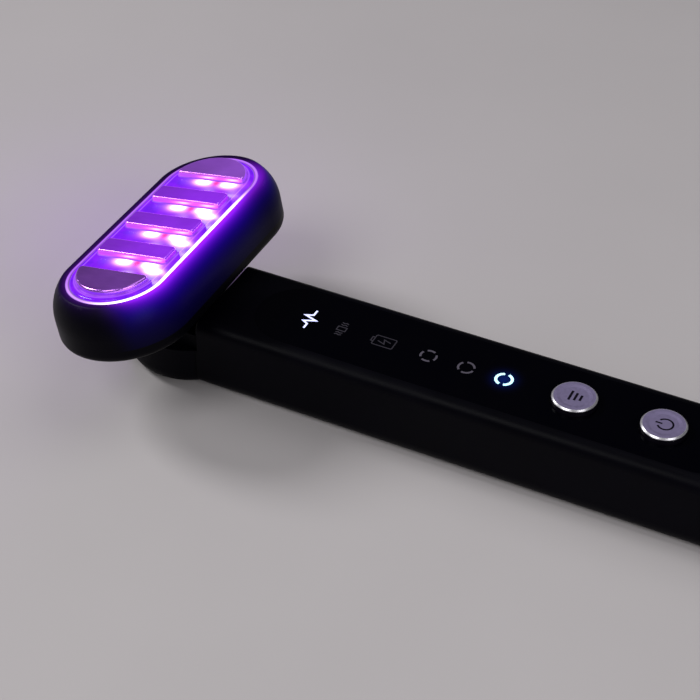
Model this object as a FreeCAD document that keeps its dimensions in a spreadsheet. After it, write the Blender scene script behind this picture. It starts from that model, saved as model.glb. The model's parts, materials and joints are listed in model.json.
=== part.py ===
"""Facial care wand: a bar handle with touch indicators and two push buttons, and a swivelling light head.

Frame: millimetres, +Z up. The wand lies on its flat underside at z = 0, the handle runs along X with
its middle at x = 0, and the head sits beyond its front end, towards -X. The head turns about an axis that
starts on the underside below the pod and leans away from the handle; head pieces are drawn along that axis.
"""
import FreeCAD
import Part
import Sketcher
import math
import os

# Driving sizes, each named once

SIZES = {
    # Handle shells
    "handle_length": 143.4,
    "handle_width": 22.3,
    "handle_height": 16.0,
    "top_round": 2.4,
    "bottom_round": 3.6,
    "nose_round": 0.6,
    "shell_wall": 1.6,
    "cover_height": 6.8,
    "roof_thickness": 2.4,
    "cap_length": 3.0,
    "cap_round": 1.4,
    # Pod, turret and swivel axis in front of the handle
    "pod_offset": 7.35,
    "pod_radius": 13.0,
    "pod_height": 9.0,
    "pod_round": 3.0,
    "web_notch": 0.9,
    "web_height": 12.2,
    "head_tilt": 10.0,
    "chamber_gap": 0.5,
    "chamber_floor": 3.2,
    "passage_width": 5.0,
    "passage_height": 3.0,
    # Swivel bearing
    "stem_radius": 4.6,
    "stem_bore": 2.6,
    "stem_tail": 2.4,
    "stem_floor_gap": 2.1,
    "stem_flange_reach": 3.4,
    "stem_flange_thickness": 1.5,
    "running_gap": 0.06,
    "bush_wall": 1.0,
    "bush_length": 4.0,
    "bush_flange_step": 0.9,
    "bush_flange_thickness": 0.6,
    "thrust_gap": 0.05,
    "washer_thickness": 0.5,
    "clip_thickness": 0.7,
    "clip_reach": 1.6,
    "clip_groove": 0.6,
    "collar_step": 0.7,
    "stem_screw_radius": 0.6,
    "stem_screw_head": 1.0,
    # Head
    "head_lift": 0.8,
    "head_length": 61.3,
    "head_width": 27.3,
    "head_depth": 11.25,
    "head_barrel": 2.3,
    "base_depth": 2.8,
    "head_shoulder": 2.5,
    "base_round": 1.8,
    "rim_round": 0.6,
    "rim_border": 1.2,
    "lens_seat": 2.2,
    "lens_ledge": 2.0,
    "ledge_thickness": 1.2,
    "lens_crown": 0.35,
    "lens_round": 0.5,
    "light_ring_width": 0.8,
    "led_board_thickness": 1.0,
    "tray_thickness": 0.5,
    # Electrodes and lamps in the head
    "electrode_margin": 2.3,
    "electrode_width": 4.6,
    "electrode_gap": 5.4,
    "electrode_corner": 0.9,
    "electrode_crown": 1.2,
    "electrode_round": 0.45,
    "lamp_size": 2.8,
    "lamp_height": 0.9,
    "lamp_offset": 2.85,
    "lamp_shift": 2.0,
    "red_lamp_size": 1.6,
    # Vibration motor in the head
    "motor_radius": 2.5,
    "motor_length": 9.0,
    "motor_gap": 0.6,
    "motor_wall": 0.9,
    "motor_shaft_radius": 0.5,
    "motor_shaft_reach": 4.2,
    "weight_radius": 2.1,
    "weight_length": 3.0,
    "weight_web": 0.5,
    "cable_radius": 1.5,
    # Control panel and its icons
    "panel_margin": 2.58,
    "panel_front": 17.1,
    "panel_tail": 7.2,
    "panel_thickness": 1.2,
    "icon_first": 19.3,
    "icon_second_step": 6.9,
    "icon_third_step": 8.7,
    "icon_fourth_step": 9.5,
    "icon_fifth_step": 7.7,
    "icon_sixth_step": 7.6,
    "mask_width": 6.4,
    "mask_gap": 1.4,
    "mask_margin": 3.4,
    "well_radius": 2.2,
    "indicator_size": 1.6,
    "indicator_height": 0.6,
    # Push buttons and their switches
    "mode_step": 13.8,
    "power_step": 17.0,
    "button_radius": 4.3,
    "button_gap": 0.2,
    "button_rim": 0.95,
    "button_bevel": 0.35,
    "button_bevel_width": 0.35,
    "dish_border": 0.7,
    "dish_depth": 0.14,
    "dish_slope": 0.6,
    "button_flange": 0.7,
    "button_flange_thickness": 0.7,
    "button_travel": 0.5,
    "button_stem": 1.5,
    "switch_size": 6.0,
    "switch_height": 1.8,
    "switch_floor": 0.4,
    "plunger_radius": 1.2,
    "plunger_gap": 0.3,
    "plunger_rise": 0.9,
    # Boards, battery and charging port
    "board_drop": 5.0,
    "board_thickness": 1.0,
    "board_front": 9.7,
    "board_tail": 4.0,
    "board_gap": 1.4,
    "post_inset": 3.2,
    "post_edge": 2.1,
    "post_radius": 1.8,
    "screw_radius": 0.9,
    "screw_head_radius": 1.6,
    "screw_head_height": 1.2,
    "screw_bite": 2.0,
    "pad_thickness": 0.5,
    "pad_margin": 2.2,
    "battery_length": 44.0,
    "battery_gap": 2.9,
    "battery_headroom": 1.9,
    "battery_round": 1.4,
    "battery_place": 51.0,
    "port_height": 7.6,
    "port_width": 9.0,
    "port_thickness": 3.2,
    "port_length": 7.6,
    "port_wall": 0.35,
    "port_recess": 0.4,
    "port_back": 0.8,
    "tongue_width": 6.6,
    "tongue_thickness": 0.7,
    "tongue_short": 0.6,
    "charge_board_length": 14.0,
    "charge_board_gap": 2.4,
    "rib_thickness": 1.6,
    "rib_margin": 2.5,
    "fit_gap": 0.1,
}


class Size:
    """A length with its number and the spreadsheet expression that gives it."""

    def __init__(self, text, value):
        self.text = text
        self.value = value

    def _join(self, sign, other, value):
        return Size(f"({self.text} {sign} {other.text})", value)

    def __add__(self, other):
        return self._join("+", other, self.value + other.value)

    def __sub__(self, other):
        return self._join("-", other, self.value - other.value)

    def __mul__(self, other):
        return self._join("*", other, self.value * other.value)

    def __truediv__(self, number):
        return Size(f"({self.text} / {number})", self.value / number)

    def __neg__(self):
        return Size(f"(-{self.text})", -self.value)


class Names:
    """The driving sizes as attributes."""


doc = FreeCAD.newDocument("facial_wand")
sheet = doc.addObject("Spreadsheet::Sheet", "sizes")
s = Names()
for row, (alias, number) in enumerate(SIZES.items(), start=1):
    sheet.set(f"A{row}", alias)
    sheet.set(f"B{row}", str(number))
    sheet.setAlias(f"B{row}", alias)
    setattr(s, alias, Size(f"sizes.{alias}", number))
doc.recompute()

ZERO = Size("0", 0.0)
lean = Size("sin(sizes.head_tilt * 1 deg)", math.sin(math.radians(SIZES["head_tilt"])))
rise = Size("cos(sizes.head_tilt * 1 deg)", math.cos(math.radians(SIZES["head_tilt"])))
pieces = []


def vector(x, y, z=ZERO):
    return FreeCAD.Vector(x.value, y.value, z.value)


def bind(thing, path, size):
    thing.setExpression(path, size.text)


def seat(thing, x=ZERO, y=ZERO, z=ZERO):
    """Place a primitive and tie its place to the sheet."""
    thing.Placement = FreeCAD.Placement(vector(x, y, z), thing.Placement.Rotation)
    for axis, size in (("x", x), ("y", y), ("z", z)):
        bind(thing, f"Placement.Base.{axis}", size)


def keep(thing, label, on_head=False):
    """Name a finished piece; head pieces lean with the swivel axis."""
    thing.Label = label
    if on_head:
        thing.Placement = FreeCAD.Placement(
            vector(pod_x, ZERO), FreeCAD.Rotation(FreeCAD.Vector(0, -1, 0), SIZES["head_tilt"]))
        bind(thing, "Placement.Base.x", pod_x)
        bind(thing, "Placement.Rotation.Angle", s.head_tilt)
    pieces.append(thing)
    return thing


# Sketch outlines

def new_sketch(body, plane, level=ZERO):
    sketch = body.newObject("Sketcher::SketchObject", "outline")
    support = next(item for item in body.Origin.OriginFeatures if item.Role == plane)
    sketch.AttachmentSupport = [(support, "")]
    sketch.MapMode = "FlatFace"
    sketch.AttachmentOffset = FreeCAD.Placement(vector(ZERO, ZERO, level), FreeCAD.Rotation())
    bind(sketch, "AttachmentOffset.Base.z", level)
    return sketch


def leaning_sketch(body, reach):
    """A sketch square to the swivel axis, at a reach along it from the underside."""
    sketch = new_sketch(body, "XY_Plane")
    x = pod_x - reach * lean
    z = reach * rise
    turn = FreeCAD.Rotation(FreeCAD.Vector(0, -1, 0), SIZES["head_tilt"])
    sketch.AttachmentOffset = FreeCAD.Placement(vector(x, ZERO, z), turn)
    bind(sketch, "AttachmentOffset.Base.x", x)
    bind(sketch, "AttachmentOffset.Base.z", z)
    bind(sketch, "AttachmentOffset.Rotation.Angle", s.head_tilt)
    return sketch


def gauge(sketch, kind, where, size):
    """A dimension in a sketch, tied to the sheet."""
    index = sketch.addConstraint(Sketcher.Constraint(kind, *where, size.value))
    sketch.renameConstraint(index, f"gauge_{index}")
    bind(sketch, f"Constraints.gauge_{index}", size)


def fix(sketch, item, point, x, y):
    gauge(sketch, "DistanceX", (-1, 1, item, point), x)
    gauge(sketch, "DistanceY", (-1, 1, item, point), y)


def rule(sketch, kind, *where):
    sketch.addConstraint(Sketcher.Constraint(kind, *where))


def circle(sketch, radius, x=ZERO, y=ZERO):
    shape = Part.Circle(vector(x, y), FreeCAD.Vector(0, 0, 1), radius.value)
    item = sketch.addGeometry(shape, False)
    gauge(sketch, "Radius", (item,), radius)
    fix(sketch, item, 3, x, y)


def rectangle(sketch, x_low, x_high, y_low, y_high):
    corners = [vector(x_low, y_low), vector(x_high, y_low), vector(x_high, y_high), vector(x_low, y_high)]
    lines = [sketch.addGeometry(Part.LineSegment(corners[i], corners[(i + 1) % 4]), False) for i in range(4)]
    for i in range(4):
        rule(sketch, "Coincident", lines[i], 2, lines[(i + 1) % 4], 1)
        rule(sketch, "Horizontal" if i % 2 == 0 else "Vertical", lines[i])
    fix(sketch, lines[0], 1, x_low, y_low)
    fix(sketch, lines[2], 1, x_high, y_high)


def arc(sketch, x, y, radius, start, end):
    shape = Part.Circle(vector(x, y), FreeCAD.Vector(0, 0, 1), radius.value)
    return sketch.addGeometry(Part.ArcOfCircle(shape, math.radians(start), math.radians(end)), False)


def line(sketch, x1, y1, x2, y2):
    return sketch.addGeometry(Part.LineSegment(vector(x1, y1), vector(x2, y2)), False)


def stadium(sketch, length, width, x=ZERO, y=ZERO, along="y"):
    """A slot outline with round ends."""
    radius = width / 2
    half = (length - width) / 2
    if along == "y":
        ends = ((x, y + half, 0), (x, y - half, 180))
        sides = ((x - radius, y + half, x - radius, y - half), (x + radius, y - half, x + radius, y + half))
    else:
        ends = ((x + half, y, 270), (x - half, y, 90))
        sides = ((x + half, y + radius, x - half, y + radius), (x - half, y - radius, x + half, y - radius))
    first, second = (arc(sketch, cx, cy, radius, turn, turn + 180) for cx, cy, turn in ends)
    near, far = (line(sketch, *points) for points in sides)
    rule(sketch, "Tangent", first, 2, near, 1)
    rule(sketch, "Tangent", near, 2, second, 1)
    rule(sketch, "Tangent", second, 2, far, 1)
    rule(sketch, "Tangent", far, 2, first, 1)
    rule(sketch, "Equal", first, second)
    gauge(sketch, "Radius", (first,), radius)
    for item, (cx, cy, turn) in zip((first, second), ends):
        fix(sketch, item, 3, cx, cy)


def section(sketch, width, low, high, low_round=None, high_round=None):
    """A cross-section with its lower or upper corners rounded."""
    half = width / 2
    bottom = low_round or ZERO
    top = high_round or ZERO
    floor = line(sketch, -half + bottom, low, half - bottom, low)
    right = line(sketch, half, low + bottom, half, high - top)
    roof = line(sketch, half - top, high, -half + top, high)
    left = line(sketch, -half, high - top, -half, low + bottom)
    for kind, sides in (("Horizontal", (floor, roof)), ("Vertical", (right, left))):
        for side in sides:
            rule(sketch, kind, side)
    corners = (
        (floor, right, half - bottom, low + bottom, low_round, 270),
        (right, roof, half - top, high - top, high_round, 0),
        (roof, left, -half + top, high - top, high_round, 90),
        (left, floor, -half + bottom, low + bottom, low_round, 180),
    )
    for before, after, x, y, radius, turn in corners:
        if radius is None:
            rule(sketch, "Coincident", before, 2, after, 1)
            continue
        corner = arc(sketch, x, y, radius, turn, turn + 90)
        rule(sketch, "Tangent", before, 2, corner, 1)
        rule(sketch, "Tangent", corner, 2, after, 1)
        gauge(sketch, "Radius", (corner,), radius)
    gauge(sketch, "DistanceY", (-1, 1, floor, 1), low)
    gauge(sketch, "DistanceY", (-1, 1, roof, 1), high)
    gauge(sketch, "DistanceX", (-1, 1, right, 1), half)
    gauge(sketch, "DistanceX", (-1, 1, left, 1), -half)


def barrel_outline(sketch, whole):
    """The head's section above the seam: sides upright to the shoulder, then leaning in towards the rim."""
    wide = s.head_width / 2
    narrow = wide - s.head_barrel
    tall = rim.value - shoulder.value
    bulge = Size("0", (tall ** 2 / SIZES["head_barrel"] + SIZES["head_barrel"]) / 2)
    sweep = math.degrees(math.asin(tall / bulge.value))
    right = arc(sketch, wide - bulge, shoulder, bulge, 0, sweep)
    sides = [(right, wide, narrow, 1, 2)]
    if whole:
        left = arc(sketch, bulge - wide, shoulder, bulge, 180 - sweep, 180)
        sides.append((left, -wide, -narrow, 2, 1))
    for side, low_x, high_x, low_end, high_end in sides:
        fix(sketch, side, low_end, low_x, shoulder)
        fix(sketch, side, high_end, high_x, rim)
        gauge(sketch, "DistanceY", (-1, 1, side, 3), shoulder)
    inner_low = -wide if whole else ZERO
    inner_high = -narrow if whole else ZERO
    floor = line(sketch, inner_low, seam, wide, seam)
    wall = line(sketch, wide, seam, wide, shoulder)
    roof = line(sketch, narrow, rim, inner_high, rim)
    rule(sketch, "Coincident", floor, 2, wall, 1)
    rule(sketch, "Coincident", wall, 2, right, 1)
    rule(sketch, "Coincident", right, 2, roof, 1)
    fix(sketch, wall, 1, wide, seam)
    if whole:
        far_wall = line(sketch, -wide, shoulder, -wide, seam)
        rule(sketch, "Coincident", roof, 2, left, 1)
        rule(sketch, "Coincident", left, 2, far_wall, 1)
        rule(sketch, "Coincident", far_wall, 2, floor, 1)
        fix(sketch, far_wall, 2, -wide, seam)
        return
    middle = line(sketch, ZERO, rim, ZERO, seam)
    rule(sketch, "Coincident", roof, 2, middle, 1)
    rule(sketch, "Coincident", middle, 2, floor, 1)
    fix(sketch, middle, 1, ZERO, rim)
    fix(sketch, middle, 2, ZERO, seam)


def end_electrode_outline(sketch, gap, side):
    """A D outline: a straight edge across the head and a round end that follows the lens."""
    radius = bar_half + gap
    tip = end_tip + gap
    edge = end_edge - gap
    middle = tip - radius
    reach = math.sqrt(radius.value ** 2 - (edge.value - middle.value) ** 2)
    angle = math.degrees(math.atan2(edge.value - middle.value, reach))
    direction = Size(str(side), float(side))
    if side > 0:
        start, end = angle, 180 - angle
    else:
        start, end = 180 + angle, 360 - angle
    bow = arc(sketch, ZERO, middle * direction, radius, start, end)
    level = edge * direction
    chord_x = Size("0", reach * side)
    chord = line(sketch, -chord_x, level, chord_x, level)
    rule(sketch, "Coincident", bow, 2, chord, 1)
    rule(sketch, "Coincident", chord, 2, bow, 1)
    rule(sketch, "Horizontal", chord)
    gauge(sketch, "Radius", (bow,), radius)
    fix(sketch, bow, 3, ZERO, middle * direction)
    gauge(sketch, "DistanceY", (-1, 1, chord, 1), level)


def electrode_outlines(sketch, gap):
    for side in (-1, 1):
        end_electrode_outline(sketch, gap, side)
    for y in bar_places:
        rectangle(sketch, -bar_half - gap, bar_half + gap, y - bar_side - gap, y + bar_side + gap)


# Solid features

def new_body(label):
    return doc.addObject("PartDesign::Body", label)


def pad(body, sketch, length):
    feature = body.newObject("PartDesign::Pad", "pad")
    feature.Profile = sketch
    feature.Length = length.value
    bind(feature, "Length", length)
    return feature


def pocket(body, sketch, length, ahead=False):
    """Cut against the sketch's normal, or ahead along it."""
    feature = body.newObject("PartDesign::Pocket", "pocket")
    feature.Profile = sketch
    feature.Length = length.value
    feature.Reversed = ahead
    bind(feature, "Length", length)
    return feature


def half_turn(body, sketch, backward):
    """Sweep a half section half a turn about the sketch's upright axis."""
    feature = body.newObject("PartDesign::Revolution", "half_turn")
    feature.Profile = sketch
    feature.ReferenceAxis = (sketch, ["V_Axis"])
    feature.Angle = 180
    feature.Reversed = backward
    return feature


def rounded(body, base, radius, picked):
    """Round the edges of the last feature that the test picks."""
    doc.recompute()
    names = [f"Edge{i}" for i, edge in enumerate(base.Shape.Edges, start=1) if picked(edge.BoundBox)]
    feature = body.newObject("PartDesign::Fillet", "fillet")
    feature.Base = (base, names)
    feature.Radius = radius.value
    bind(feature, "Radius", radius)
    return feature


def flat_at(axis, size):
    """A test for edges that lie in a plane square to an axis."""
    def test(box):
        low = getattr(box, axis + "Min")
        high = getattr(box, axis + "Max")
        return abs(low - size.value) < 1e-4 and abs(high - size.value) < 1e-4
    return test


def box(x_low, x_high, y_low, y_high, z_low, z_high):
    block = doc.addObject("Part::Box", "block")
    spans = (("Length", x_high - x_low), ("Width", y_high - y_low), ("Height", z_high - z_low))
    for name, size in spans:
        setattr(block, name, size.value)
        bind(block, name, size)
    seat(block, x_low, y_low, z_low)
    return block


def rod(radius, low, high, x=ZERO, y=ZERO):
    """An upright cylinder."""
    cylinder = doc.addObject("Part::Cylinder", "rod")
    cylinder.Radius = radius.value
    cylinder.Height = high.value - low.value
    bind(cylinder, "Radius", radius)
    bind(cylinder, "Height", high - low)
    seat(cylinder, x, y, low)
    return cylinder


def lying_rod(radius, low, high, x, z):
    """A cylinder that lies along Y."""
    cylinder = rod(radius, ZERO, high - low)
    cylinder.Placement = FreeCAD.Placement(FreeCAD.Vector(), FreeCAD.Rotation(FreeCAD.Vector(1, 0, 0), -90))
    seat(cylinder, x, low, z)
    return cylinder


def cone(low_radius, high_radius, low, high, x=ZERO, y=ZERO):
    frustum = doc.addObject("Part::Cone", "cone")
    for name, size in (("Radius1", low_radius), ("Radius2", high_radius), ("Height", high - low)):
        setattr(frustum, name, size.value)
        bind(frustum, name, size)
    seat(frustum, x, y, low)
    return frustum


def joined(shapes):
    union = doc.addObject("Part::MultiFuse", "union")
    union.Shapes = shapes
    return union


def cut(base, tools):
    result = doc.addObject("Part::Cut", "cut")
    result.Base = base
    result.Tool = tools[0] if len(tools) == 1 else joined(tools)
    return result


def group(shapes):
    compound = doc.addObject("Part::Compound", "group")
    compound.Links = shapes
    return compound


# Shared places

front = -s.handle_length / 2
tail = s.handle_length / 2
shell_end = tail - s.cap_length
split = s.handle_height - s.cover_height
pod_x = front - s.pod_offset
inner_width = s.handle_width - s.shell_wall - s.shell_wall
roof_low = s.handle_height - s.roof_thickness
panel_low = s.handle_height - s.panel_thickness
panel_radius = s.handle_width / 2 - s.panel_margin
icon_places = [front + s.icon_first]
for step in (s.icon_second_step, s.icon_third_step, s.icon_fourth_step, s.icon_fifth_step,
             s.icon_sixth_step):
    icon_places.append(icon_places[-1] + step)
mode_x = icon_places[-1] + s.mode_step
power_x = mode_x + s.power_step
button_places = {"mode": mode_x, "power": power_x}
panel_start = front + s.panel_front
panel_end = power_x + s.panel_tail
panel_middle = (panel_start + panel_end) / 2
panel_length = panel_end - panel_start + panel_radius + panel_radius
flange_radius = s.button_radius + s.button_flange
board_top = panel_low - s.board_drop
board_low = board_top - s.board_thickness
board_start = front + s.board_front
board_end = panel_end + s.board_tail
board_half = inner_width / 2 - s.board_gap
post_spread = board_half - s.post_edge
post_places = [(x, y)
               for x in (board_start + s.post_inset, board_end - s.post_inset)
               for y in (-post_spread, post_spread)]

stem_low = s.chamber_floor + s.stem_floor_gap
clip_low = stem_low + s.stem_tail
clip_high = clip_low + s.clip_thickness
washer_high = clip_high + s.washer_thickness
bush_low = washer_high + s.thrust_gap
turret_top = bush_low + s.bush_length
collar_low = turret_top + s.bush_flange_thickness + s.thrust_gap
head_rise = s.handle_height + s.head_lift
bush_radius = s.stem_radius + s.running_gap + s.bush_wall
clip_radius = s.stem_radius + s.clip_reach
chamber_radius = clip_radius + s.chamber_gap
turret_radius = chamber_radius + s.shell_wall
stem_flange_radius = s.stem_radius + s.stem_flange_reach
floor_high = head_rise + s.shell_wall
flange_high = floor_high + s.stem_flange_thickness
seam = head_rise + s.base_depth
shoulder = seam + s.head_shoulder
rim = head_rise + s.head_depth
lens_inset = s.head_barrel + s.rim_border
lens_length = s.head_length - lens_inset - lens_inset
lens_width = s.head_width - lens_inset - lens_inset
lens_low = rim - s.lens_seat
led_board_high = lens_low - s.ledge_thickness
led_board_low = led_board_high - s.led_board_thickness
ledge_length = lens_length - s.lens_ledge - s.lens_ledge
ledge_width = lens_width - s.lens_ledge - s.lens_ledge
cavity_length = s.head_length - s.head_barrel - s.head_barrel - s.shell_wall
cavity_width = s.head_width - s.head_barrel - s.head_barrel - s.shell_wall
bar_half = lens_width / 2 - s.electrode_margin
bar_side = s.electrode_width / 2
end_tip = lens_length / 2 - s.electrode_margin
bar_pitch = s.electrode_width + s.electrode_gap
end_edge = bar_pitch + bar_side + s.electrode_gap
bar_places = [-bar_pitch, ZERO, bar_pitch]
gap_middle = (end_edge + bar_pitch + bar_side) / 2
lamp_rows = [-gap_middle, -bar_pitch / 2, bar_pitch / 2, gap_middle]

# Handle: lower shell with the pod, the web and the leaning turret

body = new_body("handle_lower_shell")
outline = new_sketch(body, "XY_Plane")
circle(outline, s.pod_radius, pod_x)
feature = pad(body, outline, s.pod_height)
rounded(body, feature, s.pod_round, flat_at("Z", ZERO))
outline = new_sketch(body, "YZ_Plane", front)
section(outline, s.handle_width, ZERO, split, low_round=s.bottom_round)
pad(body, outline, shell_end - front)
outline = new_sketch(body, "XY_Plane", s.bottom_round)
web_half = s.handle_width / 2 - s.web_notch
rectangle(outline, pod_x, front, -web_half, web_half)
pad(body, outline, s.web_height - s.bottom_round)
outline = leaning_sketch(body, s.chamber_floor)
circle(outline, turret_radius)
pad(body, outline, turret_top - s.chamber_floor)
outline = new_sketch(body, "YZ_Plane", front + s.shell_wall)
section(outline, inner_width, s.shell_wall, split + s.shell_wall,
        low_round=s.bottom_round - s.shell_wall)
pocket(body, outline, s.handle_length, ahead=True)
outline = leaning_sketch(body, s.chamber_floor)
circle(outline, chamber_radius)
pocket(body, outline, bush_low - s.chamber_floor, ahead=True)
outline = leaning_sketch(body, turret_top)
circle(outline, bush_radius + s.fit_gap / 2)
pocket(body, outline, s.bush_length + s.fit_gap)
outline = new_sketch(body, "YZ_Plane", pod_x)
rectangle(outline, -s.passage_width / 2, s.passage_width / 2,
          s.chamber_floor, s.chamber_floor + s.passage_height)
pocket(body, outline, s.pod_offset + s.shell_wall + s.shell_wall, ahead=True)
rib_front = shell_end - s.charge_board_length + s.rib_thickness
rib_rear = shell_end - s.rib_thickness - s.rib_thickness
rib_high = s.port_height - s.port_thickness / 2 - s.board_thickness
charge_half = inner_width / 2 - s.charge_board_gap
rib_half = charge_half - s.rib_margin
for rib_x in (rib_front, rib_rear):
    outline = new_sketch(body, "XY_Plane", s.shell_wall)
    rectangle(outline, rib_x, rib_x + s.rib_thickness, -rib_half, rib_half)
    pad(body, outline, rib_high - s.shell_wall)
keep(body, "handle_lower_shell")

# Handle: upper shell with the panel recess, mask slot, button holes and board posts

body = new_body("handle_upper_shell")
outline = new_sketch(body, "YZ_Plane", front)
section(outline, s.handle_width, split, s.handle_height, high_round=s.top_round)
feature = pad(body, outline, shell_end - front)
nose = flat_at("X", front)
rounded(body, feature, s.nose_round, lambda limits: nose(limits) and limits.ZMax > split.value + 0.1)
outline = new_sketch(body, "YZ_Plane", front + s.shell_wall)
section(outline, inner_width, split - s.shell_wall, roof_low)
pocket(body, outline, s.handle_length, ahead=True)
outline = new_sketch(body, "XY_Plane", s.handle_height)
stadium(outline, panel_length, panel_radius + panel_radius, panel_middle, along="x")
pocket(body, outline, s.panel_thickness)
outline = new_sketch(body, "XY_Plane", s.handle_height)
mask_half = s.mask_width / 2
rectangle(outline, icon_places[0] - s.mask_margin - s.fit_gap, icon_places[-1] + s.mask_margin + s.fit_gap,
          -mask_half - s.fit_gap, mask_half + s.fit_gap)
for place in button_places.values():
    circle(outline, flange_radius + s.button_gap, place)
pocket(body, outline, s.roof_thickness)
outline = new_sketch(body, "XY_Plane", board_top)
for x, y in post_places:
    circle(outline, s.post_radius, x, y)
pad(body, outline, roof_low - board_top)
outline = new_sketch(body, "XY_Plane", board_top)
for x, y in post_places:
    circle(outline, s.screw_radius, x, y)
pocket(body, outline, s.screw_bite, ahead=True)
keep(body, "handle_upper_shell")

# Control panel with its two button holes

body = new_body("control_panel")
outline = new_sketch(body, "XY_Plane", panel_low)
stadium(outline, panel_length - s.fit_gap, panel_radius + panel_radius - s.fit_gap, panel_middle, along="x")
for place in button_places.values():
    circle(outline, s.button_radius + s.button_gap, place)
pad(body, outline, s.panel_thickness)
keep(body, "control_panel")

# Light mask below the panel, one well for each icon

mask_low = board_top + s.mask_gap
mask = box(icon_places[0] - s.mask_margin, icon_places[-1] + s.mask_margin,
           -mask_half, mask_half, mask_low, panel_low)
wells = [rod(s.well_radius, mask_low - s.fit_gap, panel_low + s.fit_gap, x) for x in icon_places]
keep(cut(mask, wells), "light_mask")

# Control board, its lamps, screws and switch housings

switch_half = s.switch_size / 2
board = box(board_start, board_end, -board_half, board_half, board_low, board_top)
holes = [rod(s.screw_radius + s.fit_gap, board_low - s.fit_gap, board_top + s.fit_gap, x, y)
         for x, y in post_places]
keep(cut(board, holes), "control_board")

lamp_half = s.indicator_size / 2
keep(group([box(x - lamp_half, x + lamp_half, -lamp_half, lamp_half,
                board_top, board_top + s.indicator_height) for x in icon_places]), "indicator_lamps")

screws = []
for x, y in post_places:
    head = rod(s.screw_head_radius, board_low - s.screw_head_height, board_low, x, y)
    shank = rod(s.screw_radius, board_low, board_top + s.screw_bite, x, y)
    screws.append(joined([head, shank]))
keep(group(screws), "board_screws")

switch_high = board_top + s.switch_height
housings = []
for place in button_places.values():
    case = box(place - switch_half, place + switch_half, -switch_half, switch_half, board_top, switch_high)
    bore = rod(s.plunger_radius + s.plunger_gap, board_top + s.switch_floor, switch_high + s.fit_gap, place)
    housings.append(cut(case, [bore]))
keep(group(housings), "switch_housings")

# Push buttons: a bevelled cap with a dished top, a flange below the panel and a stem on the plunger

flange_top = panel_low - s.thrust_gap
flange_low = flange_top - s.button_flange_thickness
plunger_low = board_top + s.switch_floor + s.button_travel + s.fit_gap
plunger_high = switch_high + s.plunger_rise
rim_level = s.handle_height + s.button_rim
crown_level = rim_level + s.button_bevel
crown_radius = s.button_radius - s.button_bevel_width
dish_radius = crown_radius - s.dish_border
for name, place in button_places.items():
    solid = joined([
        rod(s.button_radius, flange_low, rim_level, place),
        cone(s.button_radius, crown_radius, rim_level, crown_level, place),
        rod(flange_radius, flange_low, flange_top, place),
        rod(s.button_stem, plunger_high, flange_low, place),
    ])
    dish = cone(dish_radius - s.dish_slope, dish_radius, crown_level - s.dish_depth, crown_level, place)
    keep(cut(solid, [dish]), f"{name}_button_cap")
    keep(rod(s.plunger_radius, plunger_low, plunger_high, place), f"{name}_switch_plunger")

# Battery on its foam pad

battery_side = inner_width / 2 - s.battery_gap
pad_half = battery_side - s.pad_margin
battery_half = s.battery_length / 2
battery_middle = front + s.battery_place
battery_low = s.shell_wall + s.pad_thickness
keep(box(battery_middle - battery_half + s.pad_margin, battery_middle + battery_half - s.pad_margin,
         -pad_half, pad_half, s.shell_wall, battery_low), "battery_pad")
body = new_body("battery_cell")
outline = new_sketch(body, "YZ_Plane", battery_middle - battery_half)
section(outline, battery_side + battery_side, battery_low, board_low - s.battery_headroom,
        low_round=s.battery_round, high_round=s.battery_round)
pad(body, outline, s.battery_length)
keep(body, "battery_cell")

# Charging board, port shell and tongue

keep(box(shell_end - s.charge_board_length, shell_end - s.fit_gap, -charge_half, charge_half,
         rib_high, rib_high + s.board_thickness), "charging_board")
port_end = tail - s.port_recess
port_start = port_end - s.port_length
body = new_body("charging_port_shell")
outline = new_sketch(body, "YZ_Plane", port_start)
stadium(outline, s.port_width, s.port_thickness, ZERO, s.port_height, along="x")
pad(body, outline, s.port_length)
outline = new_sketch(body, "YZ_Plane", port_end)
stadium(outline, s.port_width - s.port_wall - s.port_wall, s.port_thickness - s.port_wall - s.port_wall,
        ZERO, s.port_height, along="x")
pocket(body, outline, s.port_length - s.port_back)
keep(body, "charging_port_shell")
tongue_half = s.tongue_width / 2
tongue_side = s.tongue_thickness / 2
keep(box(port_start + s.port_back, port_end - s.tongue_short, -tongue_half, tongue_half,
         s.port_height - tongue_side, s.port_height + tongue_side), "charging_port_tongue")

# End cap round the port

body = new_body("end_cap")
outline = new_sketch(body, "YZ_Plane", shell_end)
section(outline, s.handle_width, ZERO, s.handle_height, low_round=s.bottom_round, high_round=s.top_round)
feature = pad(body, outline, s.cap_length)
rounded(body, feature, s.cap_round, flat_at("X", tail))
outline = new_sketch(body, "YZ_Plane", tail)
stadium(outline, s.port_width + s.fit_gap + s.fit_gap, s.port_thickness + s.fit_gap + s.fit_gap,
        ZERO, s.port_height, along="x")
pocket(body, outline, s.cap_length)
keep(body, "end_cap")

# Swivel bearing: bush in the turret, stem from the head, washer and clip below


def ring(outer, inner, low, high):
    """A tube on the swivel axis."""
    return cut(rod(outer, low, high), [rod(inner, low - s.fit_gap, high + s.fit_gap)])


bush_bore = s.stem_radius + s.running_gap
bush_flange_high = turret_top + s.bush_flange_thickness
sleeve = joined([rod(bush_radius, bush_low, turret_top),
                 rod(turret_radius - s.bush_flange_step, turret_top, bush_flange_high)])
keep(cut(sleeve, [rod(bush_bore, bush_low - s.fit_gap, bush_flange_high + s.fit_gap)]), "swivel_bush", True)

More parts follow.
